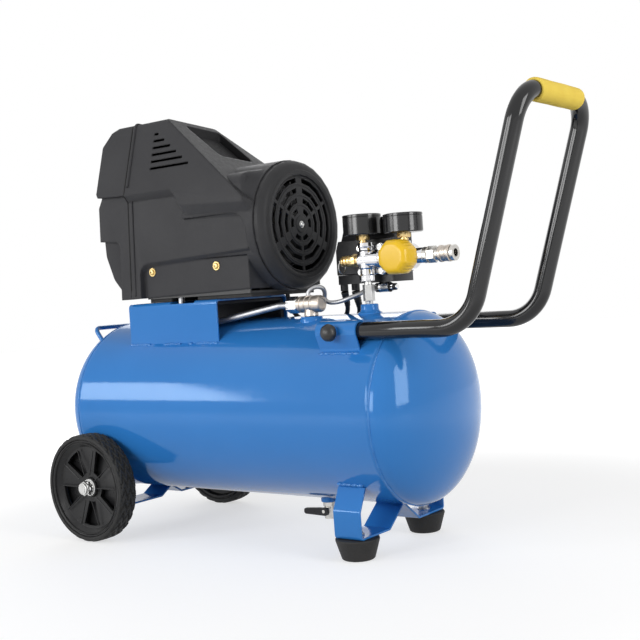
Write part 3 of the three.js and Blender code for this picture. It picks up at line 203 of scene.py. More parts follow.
def tube(path, radius, sides=16):
    """A circle of the given radius, one for the whole path or one for each of its points, carried along the
    path. Each side direction is the last one, less its part along the path."""
    path = np.asarray(path, float)
    ahead = np.gradient(path, axis=0)
    ahead /= np.linalg.norm(ahead, axis=1)[:, None]
    side = np.cross(ahead[0], [0.0, 0.0, 1.0] if abs(ahead[0][2]) < 0.9 else [1.0, 0.0, 0.0])
    across = []
    for direction in ahead:
        side = side - direction * (side @ direction)
        side = side / np.linalg.norm(side)
        across.append(side)
    across = np.array(across)
    over = np.cross(ahead, across)
    turn = turns(sides)[None, :, None]
    radius = np.broadcast_to(radius, len(path))[:, None, None]
    return skin(path[:, None] + radius * (np.cos(turn) * across[:, None] + np.sin(turn) * over[:, None]))


def block(outline, axis, start, end, edge=0.6):
    """An outline (u, v) carried along an axis, its first and last edge rounded: near each end the outline is
    drawn in towards its middle by a quarter circle of the edge's radius."""
    along, first, second = AXES[axis]
    outline = np.asarray(outline, float)
    middle = (outline.max(0) + outline.min(0)) / 2
    half = (outline.max(0) - outline.min(0)) / 2
    a = np.linspace(0, np.pi / 2, 4)
    inset = np.concatenate([edge * (1 - np.sin(a)), edge * (1 - np.sin(a[::-1]))])
    place = np.concatenate([start + edge * (1 - np.cos(a)), end - edge * (1 - np.cos(a[::-1]))])
    ring = middle + (outline - middle) * (1 - inset[:, None] / half)[:, None, :]
    return skin(place[:, None, None] * along + ring[..., :1] * first + ring[..., 1:] * second)


def rounded_outline(width, height, radius, centre=(0, 0)):
    """A rectangle with quarter-circle corners, as points (u, v) turning anticlockwise."""
    w, h = width / 2 - radius, height / 2 - radius
    corners = [((w, h), 0), ((-w, h), 90), ((-w, -h), 180), ((w, -h), 270)]
    return np.vstack([arc(c, radius, a, a + 90, 5) for c, a in corners]) + np.asarray(centre, float)


def placed(profile, base):
    """A profile whose places along the axis were measured from a base."""
    return np.asarray(profile, float) + [base, 0]


def outward(side, near, far):
    """Two distances from the middle plane as places along y on one side, the lower one first."""
    return sorted((side * near, side * far))


def nut(axis, across, start, end, centre):
    """A hexagon nut: its corners are drawn in at both faces, as turned nuts have them."""
    flank, corner = across * 0.5, across * 0.577
    profile = [(start, flank), (start + 0.9, corner), (end - 0.9, corner), (end, flank)]
    flat = math.cos(math.pi / 6) / np.cos((turns(36) + math.pi / 6) % (math.pi / 3) - math.pi / 6)
    swell = np.minimum(flat, 1.0)[None, :] * np.ones((4, 1))
    swell[[0, 3]] = 1.0
    return lathe(profile, axis, centre, 36, swell=swell)


def disc(axis, radius, start, end, centre, edge=0.5, sides=40, swell=1.0):
    """A round plate or shank with both edges slightly broken."""
    profile = [(start, radius - edge), (start + edge, radius), (end - edge, radius), (end, radius - edge)]
    return lathe(profile, axis, centre, sides, swell=swell)


def weld_bead(path, radius):
    """A round bead along a path, its radius rising and falling a little with every drop of weld."""
    return tube(path, radius * (1 + 0.10 * np.abs(np.sin(run_along(path) / WELD_DROP * math.pi))), 10)


# ---------- pieces ----------

SHARP = 30


def dress(node, finish):
    """Gives a solid of the machine its finish in place of the plain one that it came with."""
    nodes[node].data.materials.clear()
    nodes[node].data.materials.append(finish)


def make_piece(name, surface, finish, body="frame", replaces=(), smooth=34):
    """A mesh object at the origin, from one surface in millimetres or a list of them."""
    points, faces = together(surface) if isinstance(surface, list) else surface
    mesh = bpy.data.meshes.new(name)
    mesh.from_pydata(spot(points).tolist(), [], faces)
    mesh.update()
    return finish_piece(name, mesh, finish, body, replaces, smooth)


def finish_piece(name, mesh, finish, body, replaces, smooth):
    """Puts a mesh in the scene on its body, shaded smooth except at edges sharper than an angle. The solids
    that it stands for get the same finish."""
    mesh.polygons.foreach_set("use_smooth", np.ones(len(mesh.polygons), bool))
    mesh.set_sharp_from_angle(angle=math.radians(smooth))
    piece = bpy.data.objects.new(name, mesh)
    bpy.context.scene.collection.objects.link(piece)
    mesh.materials.append(finish)
    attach(piece, body)
    for node in replaces:
        dress(node, finish)
    if replaces:
        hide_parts(*replaces)
    return piece


def eased_copy(node, finish, edge, body="frame"):
    """A copy of a solid with its doubles merged and its flats made single faces, so that, where an edge width
    is given, every sharp edge gets a narrow rounding and catches the light."""
    shape = bmesh.new()
    shape.from_mesh(nodes[node].data)
    bmesh.ops.remove_doubles(shape, verts=shape.verts, dist=2e-6)
    bmesh.ops.dissolve_limit(
        shape, angle_limit=math.radians(0.6), verts=shape.verts, edges=shape.edges,
        use_dissolve_boundaries=False,
    )
    mesh = bpy.data.meshes.new(node + "_skin")
    shape.to_mesh(mesh)
    shape.free()
    piece = finish_piece(node + "_skin", mesh, finish, body, (node,), SHARP)
    if edge:
        rounding = piece.modifiers.new("edge", "BEVEL")
        rounding.width = edge * MM
        rounding.segments = 2
        rounding.limit_method = "ANGLE"
        rounding.angle_limit = math.radians(SHARP)
        rounding.harden_normals = True
        rounding.use_clamp_overlap = True


# ---------- finishes ----------

NOISE = "TexNoise"
CELLS = "TexVoronoi"


def new_material(name):
    """A node material with its tree and its shader."""
    material = bpy.data.materials.new(name)
    material.use_nodes = True
    return material, material.node_tree, material.node_tree.nodes["Principled BSDF"]


def fill(tree, node, inputs):
    """Sets a node's inputs by name: a socket is linked to its input, and anything else is its own value."""
    for name, value in inputs.items():
        if isinstance(value, bpy.types.NodeSocket):
            tree.links.new(value, node.inputs[name])
        else:
            node.inputs[name].default_value = value


def added(tree, kind, inputs, output=0, **settings):
    """One output of a new node, after its settings and its inputs are set."""
    node = tree.nodes.new("ShaderNode" + kind)
    for name, value in settings.items():
        setattr(node, name, value)
    fill(tree, node, inputs)
    return node.outputs[output]


def noise(tree, scale, detail=3.0, kind=NOISE):
    """A noise or cell pattern on the object's own coordinates, scale in patterns to the metre."""
    place = added(tree, "TexCoord", {}, "Object")
    return added(tree, kind, {"Vector": place, "Scale": scale, "Detail": detail})


def spread(tree, source, low, high, start=0.3, end=0.7, rise="LINEAR"):
    """A value between low and high, as the source goes from start to end."""
    inputs = {"Value": source, "From Min": start, "From Max": end, "To Min": low, "To Max": high}
    return added(tree, "MapRange", inputs, "Result", interpolation_type=rise)


def two_colours(tree, source, first, second):
    """The first colour where the source is 0, the second where it is 1."""
    inputs = {"Factor": source, "A": (*first, 1), "B": (*second, 1)}
    return added(tree, "Mix", inputs, "Result", data_type="RGBA")


def raised(tree, source, shader, strength, depth):
    """Bumps the shader's surface by the source, depth in metres; a second call adds to the first."""
    inputs = {"Height": source, "Strength": strength, "Distance": depth}
    earlier = shader.inputs["Normal"].links
    if earlier:
        inputs["Normal"] = earlier[0].from_socket
    fill(tree, shader, {"Normal": added(tree, "Bump", inputs, "Normal")})


def surface_finish(
    name, light, dark, rough, mottle, grains=(), metal=0.0, specular=0.5, soft=0.0, sheen_tone=(1, 1, 1)
):
    """A finish whose colour drifts between two tones, whose roughness drifts with a finer pattern, and whose
    surface carries grains of (scale to the metre, strength, depth in metres), noise unless a kind is given.
    Soft is the radius in metres over which edges are shaded round; the sheen tone colours its reflections."""
    material, tree, shader = new_material(name)
    fill(tree, shader, {
        "Base Color": two_colours(tree, spread(tree, noise(tree, mottle, 4.0), 0, 1), light, dark),
        "Roughness": spread(tree, noise(tree, mottle * 14, 5.0), *rough),
        "Metallic": metal, "Specular IOR Level": specular, "Specular Tint": (*sheen_tone, 1),
    })
    if soft:
        fill(tree, shader, {"Normal": added(tree, "Bevel", {"Radius": soft}, "Normal")})
    for scale, strength, depth, *kind in grains:
        raised(tree, noise(tree, scale, 3.0, *kind), shader, strength, depth)
    return material


ENAMEL_SHEEN = (0.60, 0.80, 1.0)
enamel_blue = surface_finish(
    "enamel_blue", (0.032, 0.212, 0.600), (0.028, 0.194, 0.560), (0.07, 0.12), 5,
    [(260, 0.08, 0.0004)], specular=0.45, sheen_tone=ENAMEL_SHEEN,
)
enamel_weld = surface_finish(
    "enamel_weld", (0.040, 0.230, 0.620), (0.024, 0.160, 0.480), (0.12, 0.26), 60,
    [(420, 0.5, 0.0008)], specular=0.55, sheen_tone=ENAMEL_SHEEN,
)
gloss_black = surface_finish(
    "gloss_black", (0.007, 0.007, 0.008), (0.011, 0.011, 0.012), (0.08, 0.13), 12,
    [(330, 0.05, 0.0003)], specular=0.45,
)
shroud_plastic = surface_finish(
    "shroud_plastic", (0.041, 0.041, 0.044), (0.048, 0.048, 0.051), (0.40, 0.52), 14,
    [(1500, 0.32, 0.00025), (520, 0.12, 0.0003, CELLS)], specular=0.12, soft=0.004,
)
cover_plastic = surface_finish(
    "cover_plastic", (0.037, 0.037, 0.039), (0.045, 0.045, 0.047), (0.36, 0.50), 18,
    [(1500, 0.25, 0.00025)], specular=0.13, soft=0.0015,
)
fitting_plastic = surface_finish(
    "fitting_plastic", (0.016, 0.016, 0.017), (0.022, 0.022, 0.024), (0.26, 0.40), 30,
    [(1800, 0.12, 0.0002)], specular=0.28,
)
tyre_rubber = surface_finish(
    "tyre_rubber", (0.014, 0.014, 0.014), (0.020, 0.020, 0.020), (0.50, 0.68), 26,
    [(900, 0.30, 0.0003)], specular=0.30,
)
rim_plastic = surface_finish(
    "rim_plastic", (0.011, 0.011, 0.012), (0.016, 0.016, 0.017), (0.26, 0.38), 20,
    [(1200, 0.18, 0.00025)], specular=0.28,
)
foot_rubber = surface_finish(
    "foot_rubber", (0.022, 0.022, 0.022), (0.032, 0.031, 0.030), (0.58, 0.76), 40,
    [(1000, 0.25, 0.0003)], specular=0.3,
)
cord_rubber = surface_finish(
    "cord_rubber", (0.016, 0.016, 0.016), (0.024, 0.024, 0.024), (0.44, 0.60), 50,
    [(1300, 0.22, 0.0002)],
)
grip_foam = surface_finish(
    "grip_foam", (0.985, 0.740, 0.120), (0.930, 0.670, 0.095), (0.66, 0.86), 50,
    [(750, 0.55, 0.0007, CELLS), (1900, 0.35, 0.0003)], specular=0.3,
)
knob_yellow = surface_finish(
    "knob_yellow", (0.960, 0.600, 0.014), (0.920, 0.560, 0.012), (0.26, 0.38), 40,
    [(1600, 0.10, 0.0002)],
)
zinc_plate = surface_finish(
    "zinc_plate", (0.640, 0.640, 0.630), (0.500, 0.500, 0.490), (0.26, 0.42), 70,
    [(900, 0.12, 0.0002)], metal=1.0,
)
gold_zinc = surface_finish(
    "gold_zinc", (0.740, 0.560, 0.240), (0.600, 0.440, 0.200), (0.28, 0.44), 90,
    [(900, 0.15, 0.0002)], metal=1.0,
)
nickel_plate = surface_finish(
    "nickel_plate", (0.700, 0.680, 0.640), (0.560, 0.540, 0.510), (0.20, 0.34), 60,
    [(700, 0.16, 0.0003)], metal=1.0,
)
chrome_plate = surface_finish(
    "chrome_plate", (0.780, 0.780, 0.790), (0.640, 0.640, 0.660), (0.07, 0.18), 40,
    [(260, 0.18, 0.0005)], metal=1.0,
)
brass = surface_finish(
    "brass", (0.800, 0.610, 0.300), (0.620, 0.430, 0.180), (0.20, 0.36), 70,
    [(800, 0.14, 0.0002)], metal=1.0,
)
aluminium = surface_finish(
    "aluminium", (0.480, 0.485, 0.500), (0.390, 0.395, 0.410), (0.38, 0.52), 45,
    [(600, 0.14, 0.0003)], metal=1.0,
)
cast_metal = surface_finish(
    "cast_metal", (0.300, 0.300, 0.310), (0.210, 0.210, 0.220), (0.44, 0.62), 60,
    [(700, 0.45, 0.0005)], metal=0.9,
)
base_paint = surface_finish(
    "base_paint", (0.020, 0.020, 0.021), (0.030, 0.030, 0.031), (0.34, 0.50), 25,
    [(900, 0.2, 0.0003)],
)
# a near-black finish that paints the shade inside the pocket of the front slope
pocket_painted_shade = surface_finish(
    "pocket_painted_shade", (0.010, 0.010, 0.011), (0.014, 0.014, 0.015), (0.55, 0.70), 20,
    [(1500, 0.3, 0.00025)], specular=0.2,
)
satin_nickel = surface_finish(
    "satin_nickel", (0.600, 0.540, 0.480), (0.470, 0.420, 0.370), (0.30, 0.46), 70,
    [(700, 0.3, 0.0004)], metal=1.0,
)
bright_zinc = surface_finish(
    "bright_zinc", (0.880, 0.880, 0.870), (0.760, 0.760, 0.760), (0.16, 0.30), 70,
    [(800, 0.12, 0.0003)], metal=1.0,
)
gauge_black = surface_finish(
    "gauge_black", (0.010, 0.010, 0.011), (0.014, 0.014, 0.015), (0.14, 0.22), 30,
    [(900, 0.05, 0.0002)], specular=0.6,
)
knob_black = surface_finish(
    "knob_black", (0.012, 0.012, 0.013), (0.018, 0.018, 0.019), (0.30, 0.42), 30,
    [(1600, 0.15, 0.0002)],
)
red_plastic = surface_finish(
    "red_plastic", (0.560, 0.022, 0.014), (0.470, 0.016, 0.012), (0.28, 0.40), 60,
    [(1500, 0.10, 0.0002)],
)
dial_white = surface_finish(
    "dial_white", (0.860, 0.860, 0.850), (0.820, 0.820, 0.810), (0.50, 0.62), 60,
    [(1200, 0.05, 0.0001)],
)
dial_ink = surface_finish(
    "dial_ink", (0.012, 0.012, 0.012), (0.02, 0.02, 0.02), (0.45, 0.6), 200
)
# near black: the cover seam's dark joint, and painted shade in the screw slots and the axle hollows
dark_joint_and_shade = surface_finish(
    "dark_joint_and_shade", (0.004, 0.004, 0.004), (0.006, 0.006, 0.006), (0.8, 0.95), 60
)


def window_finish():
    """Clear moulded cover: almost all light passes, with faint drift in its gloss."""
    material, tree, shader = new_material("gauge_window")
    fill(tree, shader, {
        "Base Color": (0.96, 0.97, 0.97, 1), "Transmission Weight": 1.0, "IOR": 1.12,
        "Roughness": spread(tree, noise(tree, 60.0), 0.02, 0.07),
    })
    return material


# the solids that no finer piece stands for
SEEN_SOLIDS = (
    (cast_metal, ("motor_stator", "pump_block")),
    (zinc_plate, ("rotor_shaft", "safety_ring")),
    (fitting_plastic, ("cooling_fan", "drain_lever")),
    (foot_rubber, [f"rubber_mount_{row}_{side_name}" for row in (1, 2) for side_name, _ in SIDES]),
    (red_plastic, ("gauge_needle_tank", "gauge_needle_outlet")),
    (window_finish(), ("gauge_window_tank", "gauge_window_outlet")),
    (cord_rubber, ("mains_plug",)),
)
for solid_finish, solids in SEEN_SOLIDS:
    for solid in solids:
        dress(solid, solid_finish)

# ---------- camera ----------

CAMERA_PLACE = (923.5, -1207.9, 351.3)
CAMERA_TURN = math.radians(36.75)
CAMERA_RISE = math.radians(1.72)
CAMERA_ROLL = math.radians(-3.78)


def stand(thing, right, up, back, place):
    """Puts a camera or a lamp in the scene at a place in metres, its own axes along three directions."""
    columns = np.stack([right, up, back, place], 1)
    thing.matrix_world = Matrix(np.vstack([columns, [0, 0, 0, 1]]).tolist())
    bpy.context.scene.collection.objects.link(thing)


def place_camera():
    """A camera that looks along (-sin turn, cos turn) and slightly down, rolled about its line of sight."""
    level = math.cos(CAMERA_RISE)
    ahead = np.array([-math.sin(CAMERA_TURN) * level, math.cos(CAMERA_TURN) * level, -math.sin(CAMERA_RISE)])
    right = np.array([math.cos(CAMERA_TURN), math.sin(CAMERA_TURN), 0.0])
    up = np.cross(right, ahead)
    rolled_right = right * math.cos(CAMERA_ROLL) + up * math.sin(CAMERA_ROLL)
    rolled_up = up * math.cos(CAMERA_ROLL) - right * math.sin(CAMERA_ROLL)
    data = bpy.data.cameras.new("camera")
    data.lens = 60.77
    data.sensor_width = 36.0
    data.clip_end = 20.0
    camera = bpy.data.objects.new("camera", data)
    stand(camera, rolled_right, rolled_up, -ahead, np.array(CAMERA_PLACE) * MM)
    bpy.context.scene.camera = camera


place_camera()

# ---------- cords ----------

BASE_Z = 350.0
SWITCH_LOW = LINE_Z - 31.5
GLAND_DROP = 9.0
MAINS_GLAND = (141.0, 42.0)
MOTOR_GLAND = (131.5, 28.0)
LEAD_ENTRY = (4.0, 60.0)
CORD_LIFT = 0.2
CORD_STEP = 3.0
DROP_X = 45.0
DROP_Y = TANK_RADIUS + MAINS_RADIUS + 2
DROP_TOP = TANK_AXIS_Z - 6
FLOOR_BEND = 42.0
FLOOR_LEVEL = MAINS_RADIUS + 0.3
FLOOR_HEADING = np.array([-0.58, 0.81]) / math.hypot(0.58, 0.81)
COIL_MIDDLE = np.array([-41.0, 342.0])
COIL_RADIUS = 52.0
COIL_PITCH = 7.7


def on_tank(x, run, radius):
    """A point beside the tank: run is the length of arc round it from its top."""
    reach = TANK_RADIUS + radius + CORD_LIFT
    return [x, reach * math.sin(run / reach), TANK_AXIS_Z + reach * math.cos(run / reach)]


def motor_lead_route():
    """From the switch's gland down on to the tank, along it, and up into the motor's base."""
    entry_x = LEAD_ENTRY[0]
    return flowing_path([
        [*MOTOR_GLAND, SWITCH_LOW - 1], [*MOTOR_GLAND, SWITCH_LOW - GLAND_DROP],
        [130.5, 31.5, TANK_TOP + 22.8], [128, 37.5, TANK_TOP + 13.8], [122.5, 45, TANK_TOP + 4.3],
        [114, 52, TANK_TOP - 3.2],
        [102, 56, TANK_TOP - 7.2], on_tank(86, 60, MOTOR_LEAD_RADIUS), on_tank(60, 60, MOTOR_LEAD_RADIUS),
        [40, 57.6, TANK_TOP - 8.7], [26, 57.9, TANK_TOP - 4.2], [13.5, 58.7, TANK_TOP + 5.8],
        [6.4, 59.6, BASE_Z - 19], [*LEAD_ENTRY, BASE_Z - 5], [*LEAD_ENTRY, BASE_Z + 10],
        [entry_x, 56, MOTOR_Z - 63.5], [entry_x, 46.5, MOTOR_Z - 46.5],
    ], CORD_STEP)


def ease(value, start, end):
    """0 before start, 1 after end, and a smooth step between them."""
    t = np.clip((value - start) / (end - start), 0, 1)
    return t * t * (3 - 2 * t)


def along_floor(distance, z):
    """A point on the line that the mains lead follows over the floor, from where it comes down."""
    return [*(np.array([DROP_X, DROP_Y]) + FLOOR_HEADING * distance), z]


def mains_route():
    """Down from the switch, back along the tank, round its far side, along the floor and round the coil. The
    coil runs clockwise: an outer and an inner turn on the floor, then an inner and an outer one on top of
    them, where the last change of place passes over in a low hump."""
    across = np.array([-FLOOR_HEADING[1], FLOOR_HEADING[0]])
    straight = float((COIL_MIDDLE + across * COIL_RADIUS - [DROP_X, DROP_Y]) @ FLOOR_HEADING)
    lead = [
        [*MAINS_GLAND, SWITCH_LOW - 1], [*MAINS_GLAND, SWITCH_LOW - GLAND_DROP - 1],
        [140.5, 45, TANK_TOP + 20.8], [138, 52.5, TANK_TOP + 8.8], [131.5, 60.5, TANK_TOP - 2.2],
        [120.5, 66.3, TANK_TOP - 9.7], [107, 68.8, TANK_TOP - 13.7], on_tank(94, 73, MAINS_RADIUS),
    ]
    for a in np.radians([0, 18, 36, 54, 72, 90]):
        lead.append(on_tank(82 - 37 * math.sin(a), 73 + 37 * (1 - math.cos(a)), MAINS_RADIUS))
    for run in (128, 148, 168, 188):
        lead.append(on_tank(DROP_X, run, MAINS_RADIUS))
    for share in (1, 0.8, 0.57, 0.33, 0.18):
        lead.append([DROP_X, DROP_Y, FLOOR_BEND + (DROP_TOP - FLOOR_BEND) * share])
    for a in np.radians([0, 22.5, 45, 67.5, 90]):
        height = FLOOR_LEVEL + FLOOR_BEND * (1 - math.sin(a))
        lead.append(along_floor(FLOOR_BEND * (1 - math.cos(a)), height))
    for share in (0.3, 0.65):
        lead.append(along_floor(FLOOR_BEND + (straight - FLOOR_BEND) * share, FLOOR_LEVEL))
    start = math.atan2(across[1], across[0]) % (2 * math.pi)
    u = np.linspace(0, 4 + (start - math.pi) / (2 * math.pi), 130)
    radius = COIL_RADIUS - COIL_PITCH * ease(u, 0.8, 1.0) + COIL_PITCH * ease(u, 2.9, 3.1)
    hump = ease(u, 2.75, 2.95) * (1 - ease(u, 3.13, 3.35))
    level = FLOOR_LEVEL + COIL_PITCH * (ease(u, 1.75, 1.95) + hump)
    turn = start - u * 2 * math.pi
    coil_x, coil_y = COIL_MIDDLE
    coil = np.stack([coil_x + radius * np.cos(turn), coil_y + radius * np.sin(turn), level], -1)
    leaving = [[coil_x - COIL_RADIUS, coil_y + s, FLOOR_LEVEL + COIL_PITCH] for s in (12, 24, 36)]
    return flowing_path(np.vstack([lead, coil, leaving]), CORD_STEP)


def relief(name, route, start_radius, end_radius, length):
    """A tapered sleeve over the first stretch of a cord, ringed by six shallow ribs."""
    even = np.linspace(0, length, 61)
    taper = start_radius + (end_radius - start_radius) * even / length
    radius = taper - 0.35 * (0.5 + 0.5 * np.cos(even / length * 12 * np.pi))
    return make_piece(name, tube(at_runs(route, even), radius, 24), cord_rubber)


inside_gland = int(round((GLAND_DROP - 1) / CORD_STEP))
mains_path = mains_route()[inside_gland:]
motor_path = motor_lead_route()[inside_gland:]
mains_relief = relief("mains_relief", mains_path, 6.2, 4.3, 26.0)
motor_relief = relief("motor_lead_relief", motor_path, 5.6, 3.9, 24.0)
motor_cord = make_piece(
    "motor_cord", tube(motor_path, MOTOR_LEAD_RADIUS, 14), cord_rubber, replaces=("motor_lead",)
)
mains_cord = make_piece(
    "mains_cord", tube(mains_path, MAINS_RADIUS, 14), cord_rubber, replaces=("mains_lead", "mains_coil")
)

# ---------- tank ----------

TANK_MIDDLE_POINT = (0, 0, TANK_AXIS_Z)
DRAIN_X = 101.0
CHECK_X, CHECK_Y = 113.0, -28.0
RISER_X = 191.0
CHECK_FOOT_Z = TANK_AXIS_Z + math.sqrt(TANK_RADIUS**2 - CHECK_Y**2)


def dome(sign):
    """The end of the tank: a short straight skirt, then a quarter ellipse turned round the tank's axis."""
    a = np.linspace(0.06, math.pi / 2 - 0.006, 40)
    place = np.concatenate([[0, 2.5], DOME_DEPTH * np.sin(a)])
    radius = np.concatenate([[TANK_RADIUS - 0.3, TANK_RADIUS - 0.15], TANK_RADIUS * np.cos(a)])
    profile = np.stack([sign * (SEAM_X + place), radius], -1)
    return lathe(profile[::sign], "x", TANK_MIDDLE_POINT, 128)


def ring_path(x, radius):
    """A circle round the tank's axis at one place along it."""
    a = np.linspace(0, 2 * math.pi, 720)
    return np.stack([np.full(720, x), radius * np.cos(a), TANK_AXIS_Z + radius * np.sin(a)], -1)


def bung(x, y, foot, profile):
    """A turned boss on the tank, its profile given as (height over its foot, radius)."""
    return lathe(placed(profile, foot), "z", (x, y, 0))


half_barrel = np.array([(0, -4), (0, 0.3), (0.6, 0.7), (4, 0.7), (6, 0)]) + [-SEAM_X, TANK_RADIUS]
barrel_profile = np.vstack([half_barrel, half_barrel[::-1] * [-1, 1]])
tank_shell = [
    lathe(barrel_profile, "x", TANK_MIDDLE_POINT, 160),
    bung(RISER_X, 0, TANK_TOP, [
        (-3, 18), (0.3, 17), (1.6, 14.6), (3.2, 12.9), (5, 12.2), (10.8, 12), (12, 11.3), (12.3, 10.4),
    ]),
    bung(CHECK_X, CHECK_Y, CHECK_FOOT_Z, [(-7, 17), (-1, 16.2), (2.2, 15), (3, 14.2)]),
    bung(DRAIN_X, 0, TANK_LOW, [(-8, 10), (-7.2, 11), (-1.5, 11.2), (1, 13.5), (4, 15)]),
]
make_piece("tank_shell", tank_shell, enamel_blue, replaces=("tank_barrel",), smooth=40)
make_piece("tank_dome_front", dome(1), enamel_blue, replaces=("tank_head_front",), smooth=50)
make_piece("tank_dome_rear", dome(-1), enamel_blue, replaces=("tank_head_rear",), smooth=50)
seam_beads = [weld_bead(ring_path(sign * (SEAM_X + 1.2), TANK_RADIUS - 0.3), 1.5) for sign in (-1, 1)]
make_piece("seam_welds", seam_beads, enamel_weld)

# ---------- eased copies of the solids whose shape is right ----------

EASED = (
    ("motor_bracket", enamel_blue, 0.9), ("rear_rod_handle", enamel_blue, 0.0),
    ("axle_bracket", enamel_blue, 0.8), ("foot_bracket", enamel_blue, 0.8),
    ("handle_saddle_left", enamel_blue, 0.5), ("handle_saddle_right", enamel_blue, 0.5),
    ("rim_left", rim_plastic, 0.7, "wheel_left"), ("rim_right", rim_plastic, 0.7, "wheel_right"),
    ("foot_left", foot_rubber, 0.8), ("foot_right", foot_rubber, 0.8),
    ("shroud_main", shroud_plastic, 2.2), ("shroud_end_cover", shroud_plastic, 2.2),
    ("fan_cover", cover_plastic, 0.8), ("motor_base", base_paint, 1.0), ("coupler_body", nickel_plate, 0.3),
    ("coupler_sleeve", satin_nickel, 0.2, "coupler_collar"), ("pressure_switch_base", fitting_plastic, 0.8),
    ("pressure_switch_cover", fitting_plastic, 1.2), ("switch_lever", red_plastic, 0.6, "switch_toggle"),
    ("drain_valve", nickel_plate, 0.4), ("riser_nipple", zinc_plate, 0.3),
    ("unloader_valve", fitting_plastic, 0.4), ("axle_bolt_left", zinc_plate, 0.4),
    ("axle_bolt_right", zinc_plate, 0.4),
)
for eased in EASED:
    eased_copy(*eased)

# ---------- handle ----------

HANDLE_TOP_Z = HANDLE_Z + 268.2
GRIP_HALF = 58.0
GRIP_EDGE = 2.4
half_handle = np.array([
    (181, -HANDLE_Y, HANDLE_Z, 0), (391.25, -HANDLE_Y, HANDLE_Z, 54), (474.4, -HANDLE_Y, HANDLE_TOP_Z, 38),
])
handle_path = rounded_path(np.vstack([half_handle, half_handle[::-1] * [1, -1, 1, 1]]), 16)


def handle_tube():
    """The bent tube, its two ends slightly drawn in where their plugs sit."""
    first = (handle_path[1] - handle_path[0]) / np.linalg.norm(handle_path[1] - handle_path[0])
    last = (handle_path[-2] - handle_path[-1]) / np.linalg.norm(handle_path[-2] - handle_path[-1])
    path = np.vstack([handle_path[0], handle_path[0] + first, handle_path[1:-1], handle_path[-1] + last,
                      handle_path[-1]])
    radius = np.full(len(path), TUBE_RADIUS)
    radius[[0, -1]] -= 0.8
    return tube(path, radius, 40)


def foam_grip():
    """A sleeve that follows the top of the handle a little way into both bends; its ends are rounded over."""
    path = evened(handle_path, 2.0)
    end = -GRIP_HALF + GRIP_EDGE * (1 - np.cos(np.linspace(0, np.pi / 2, 6)))
    along = np.concatenate([end, np.linspace(4 - GRIP_HALF, GRIP_HALF - 4, 57), -end[::-1]])
    edge = np.clip((GRIP_HALF - np.abs(along)) / GRIP_EDGE, 0, 1)
    radius = 11.4 + GRIP_EDGE * np.sqrt(1 - (1 - edge) ** 2) + 0.12 * np.sin(along / 9.0) * edge
    return tube(at_runs(path, run_along(path)[-1] / 2 + along), radius, 40)


make_piece("handle_tube", handle_tube(), gloss_black, "handle", ("handle_bar",), 50)
make_piece("foam_grip", foam_grip(), grip_foam, "handle", ("handle_grip",), 60)

# ---------- wheels and feet ----------

WHEEL_MIDDLE = (WHEEL_X, 0, WHEEL_RADIUS)
AXLE_OUT = WHEEL_FACE - 10.4
FOOT_X, FOOT_Y = 204.9, 82.65
PANEL_Y = 80.0
SHROUD_SCREWS = ((-134.0, 389.6), (-8.0, 391.0))


def tyre(side):
    """A solid tyre: a rounded profile turned round the axle, its tread cut by zigzag grooves. Across the
    tread the groove's phase runs to and fro, and its depth fades out towards the shoulders."""
    half = WHEEL_WIDTH / 2
    wall = [(3.3, 0), (3.0, 1.4), (1.0, 2.4), (0.1, 3.4), (0, 4.4), (0.3, 6.4), (1.0, 7.8), (2.0, 8.8)]
    wall = np.array(wall) + [-half, RIM_RADIUS + 0.1]
    tread = np.stack([np.linspace(2.9 - half, half - 2.9, 21), np.full(21, WHEEL_RADIUS)], -1)
    tread[:, 1] -= 0.35 * (tread[:, 0] / (half - 2.9)) ** 2
    profile = np.vstack([wall, tread, wall[::-1] * [-1, 1]])
    turn = turns(480)
    across = profile[:, 0, None] / half
    zigzag = 2 * np.abs(((across * 1.5 + 0.75) % 1.0) * 2 - 1) - 1
    phase = 27 * turn[None, :] / (2 * np.pi) + 0.42 * zigzag
    groove = np.clip((np.abs((phase % 1.0) * 2 - 1) - 0.52) / 0.16, 0, 1)
    on_tread = np.clip((profile[:, 1, None] - (WHEEL_RADIUS - 3.2)) / 1.6, 0, 1)
    radius = profile[:, 1, None] - 2.4 * groove * on_tread
    y = side * (WHEEL_FACE - half) + profile[:, 0, None] + 0 * turn
    rings = np.stack([WHEEL_X + radius * np.sin(turn), y, WHEEL_RADIUS + radius * np.cos(turn)], -1)
    return skin(rings, close_along=True)


def screw_head(x, z, side):
    """A washer and a domed screw on the shroud's flank; side is the way that it faces."""
    washer = [(0.0, 6.0), (0.3, 6.3), (1.1, 6.3), (1.4, 6.0)]
    head = [(1.4, 3.9), (1.9, 4.2), (2.9, 4.1), (3.8, 3.3), (4.1, 2.0)]
    surfaces = []
    for profile in (washer, head):
        surfaces.append(lathe((placed(profile, PANEL_Y) * [side, 1])[::side], "y", (x, 0, z), 32))
    return together(surfaces)


def slot_shade_cross(x, z, side):
    """Painted shade for the driver's cross in a screw head: two crossed dark bars just proud of it."""
    reach = outward(side, PANEL_Y + 3.7, PANEL_Y + 4.25)
    bars = ((3.6, 0.8), (0.8, 3.6))
    return together([block(rounded_outline(*size, 0.25, (z, x)), "y", *reach, 0.1) for size in bars])


def wheel_ring(side, radius):
    """A low rounded ridge that runs round the face of a wheel."""
    ridge = [(-0.9, -1.0), (0.0, -0.7), (0.5, 0.0), (0.0, 0.7), (-0.9, 1.0)]
    ridge = (np.array(ridge) + [WHEEL_FACE - 0.5, radius]) * [side, 1]
    return lathe(ridge[::side], "y", WHEEL_MIDDLE, 120, (False, False))


def spoke_edge(side, angle):
    """A fine bead along one long edge of a spoke, straight out from the hub at an angle in radians."""
    outwards = np.array([math.cos(angle), 0, math.sin(angle)])
    start = np.array([WHEEL_X, side * (WHEEL_FACE - 6.9), WHEEL_RADIUS])
    return tube(start + np.linspace(20.0, 58.0, 12)[:, None] * outwards, 0.8, 10)


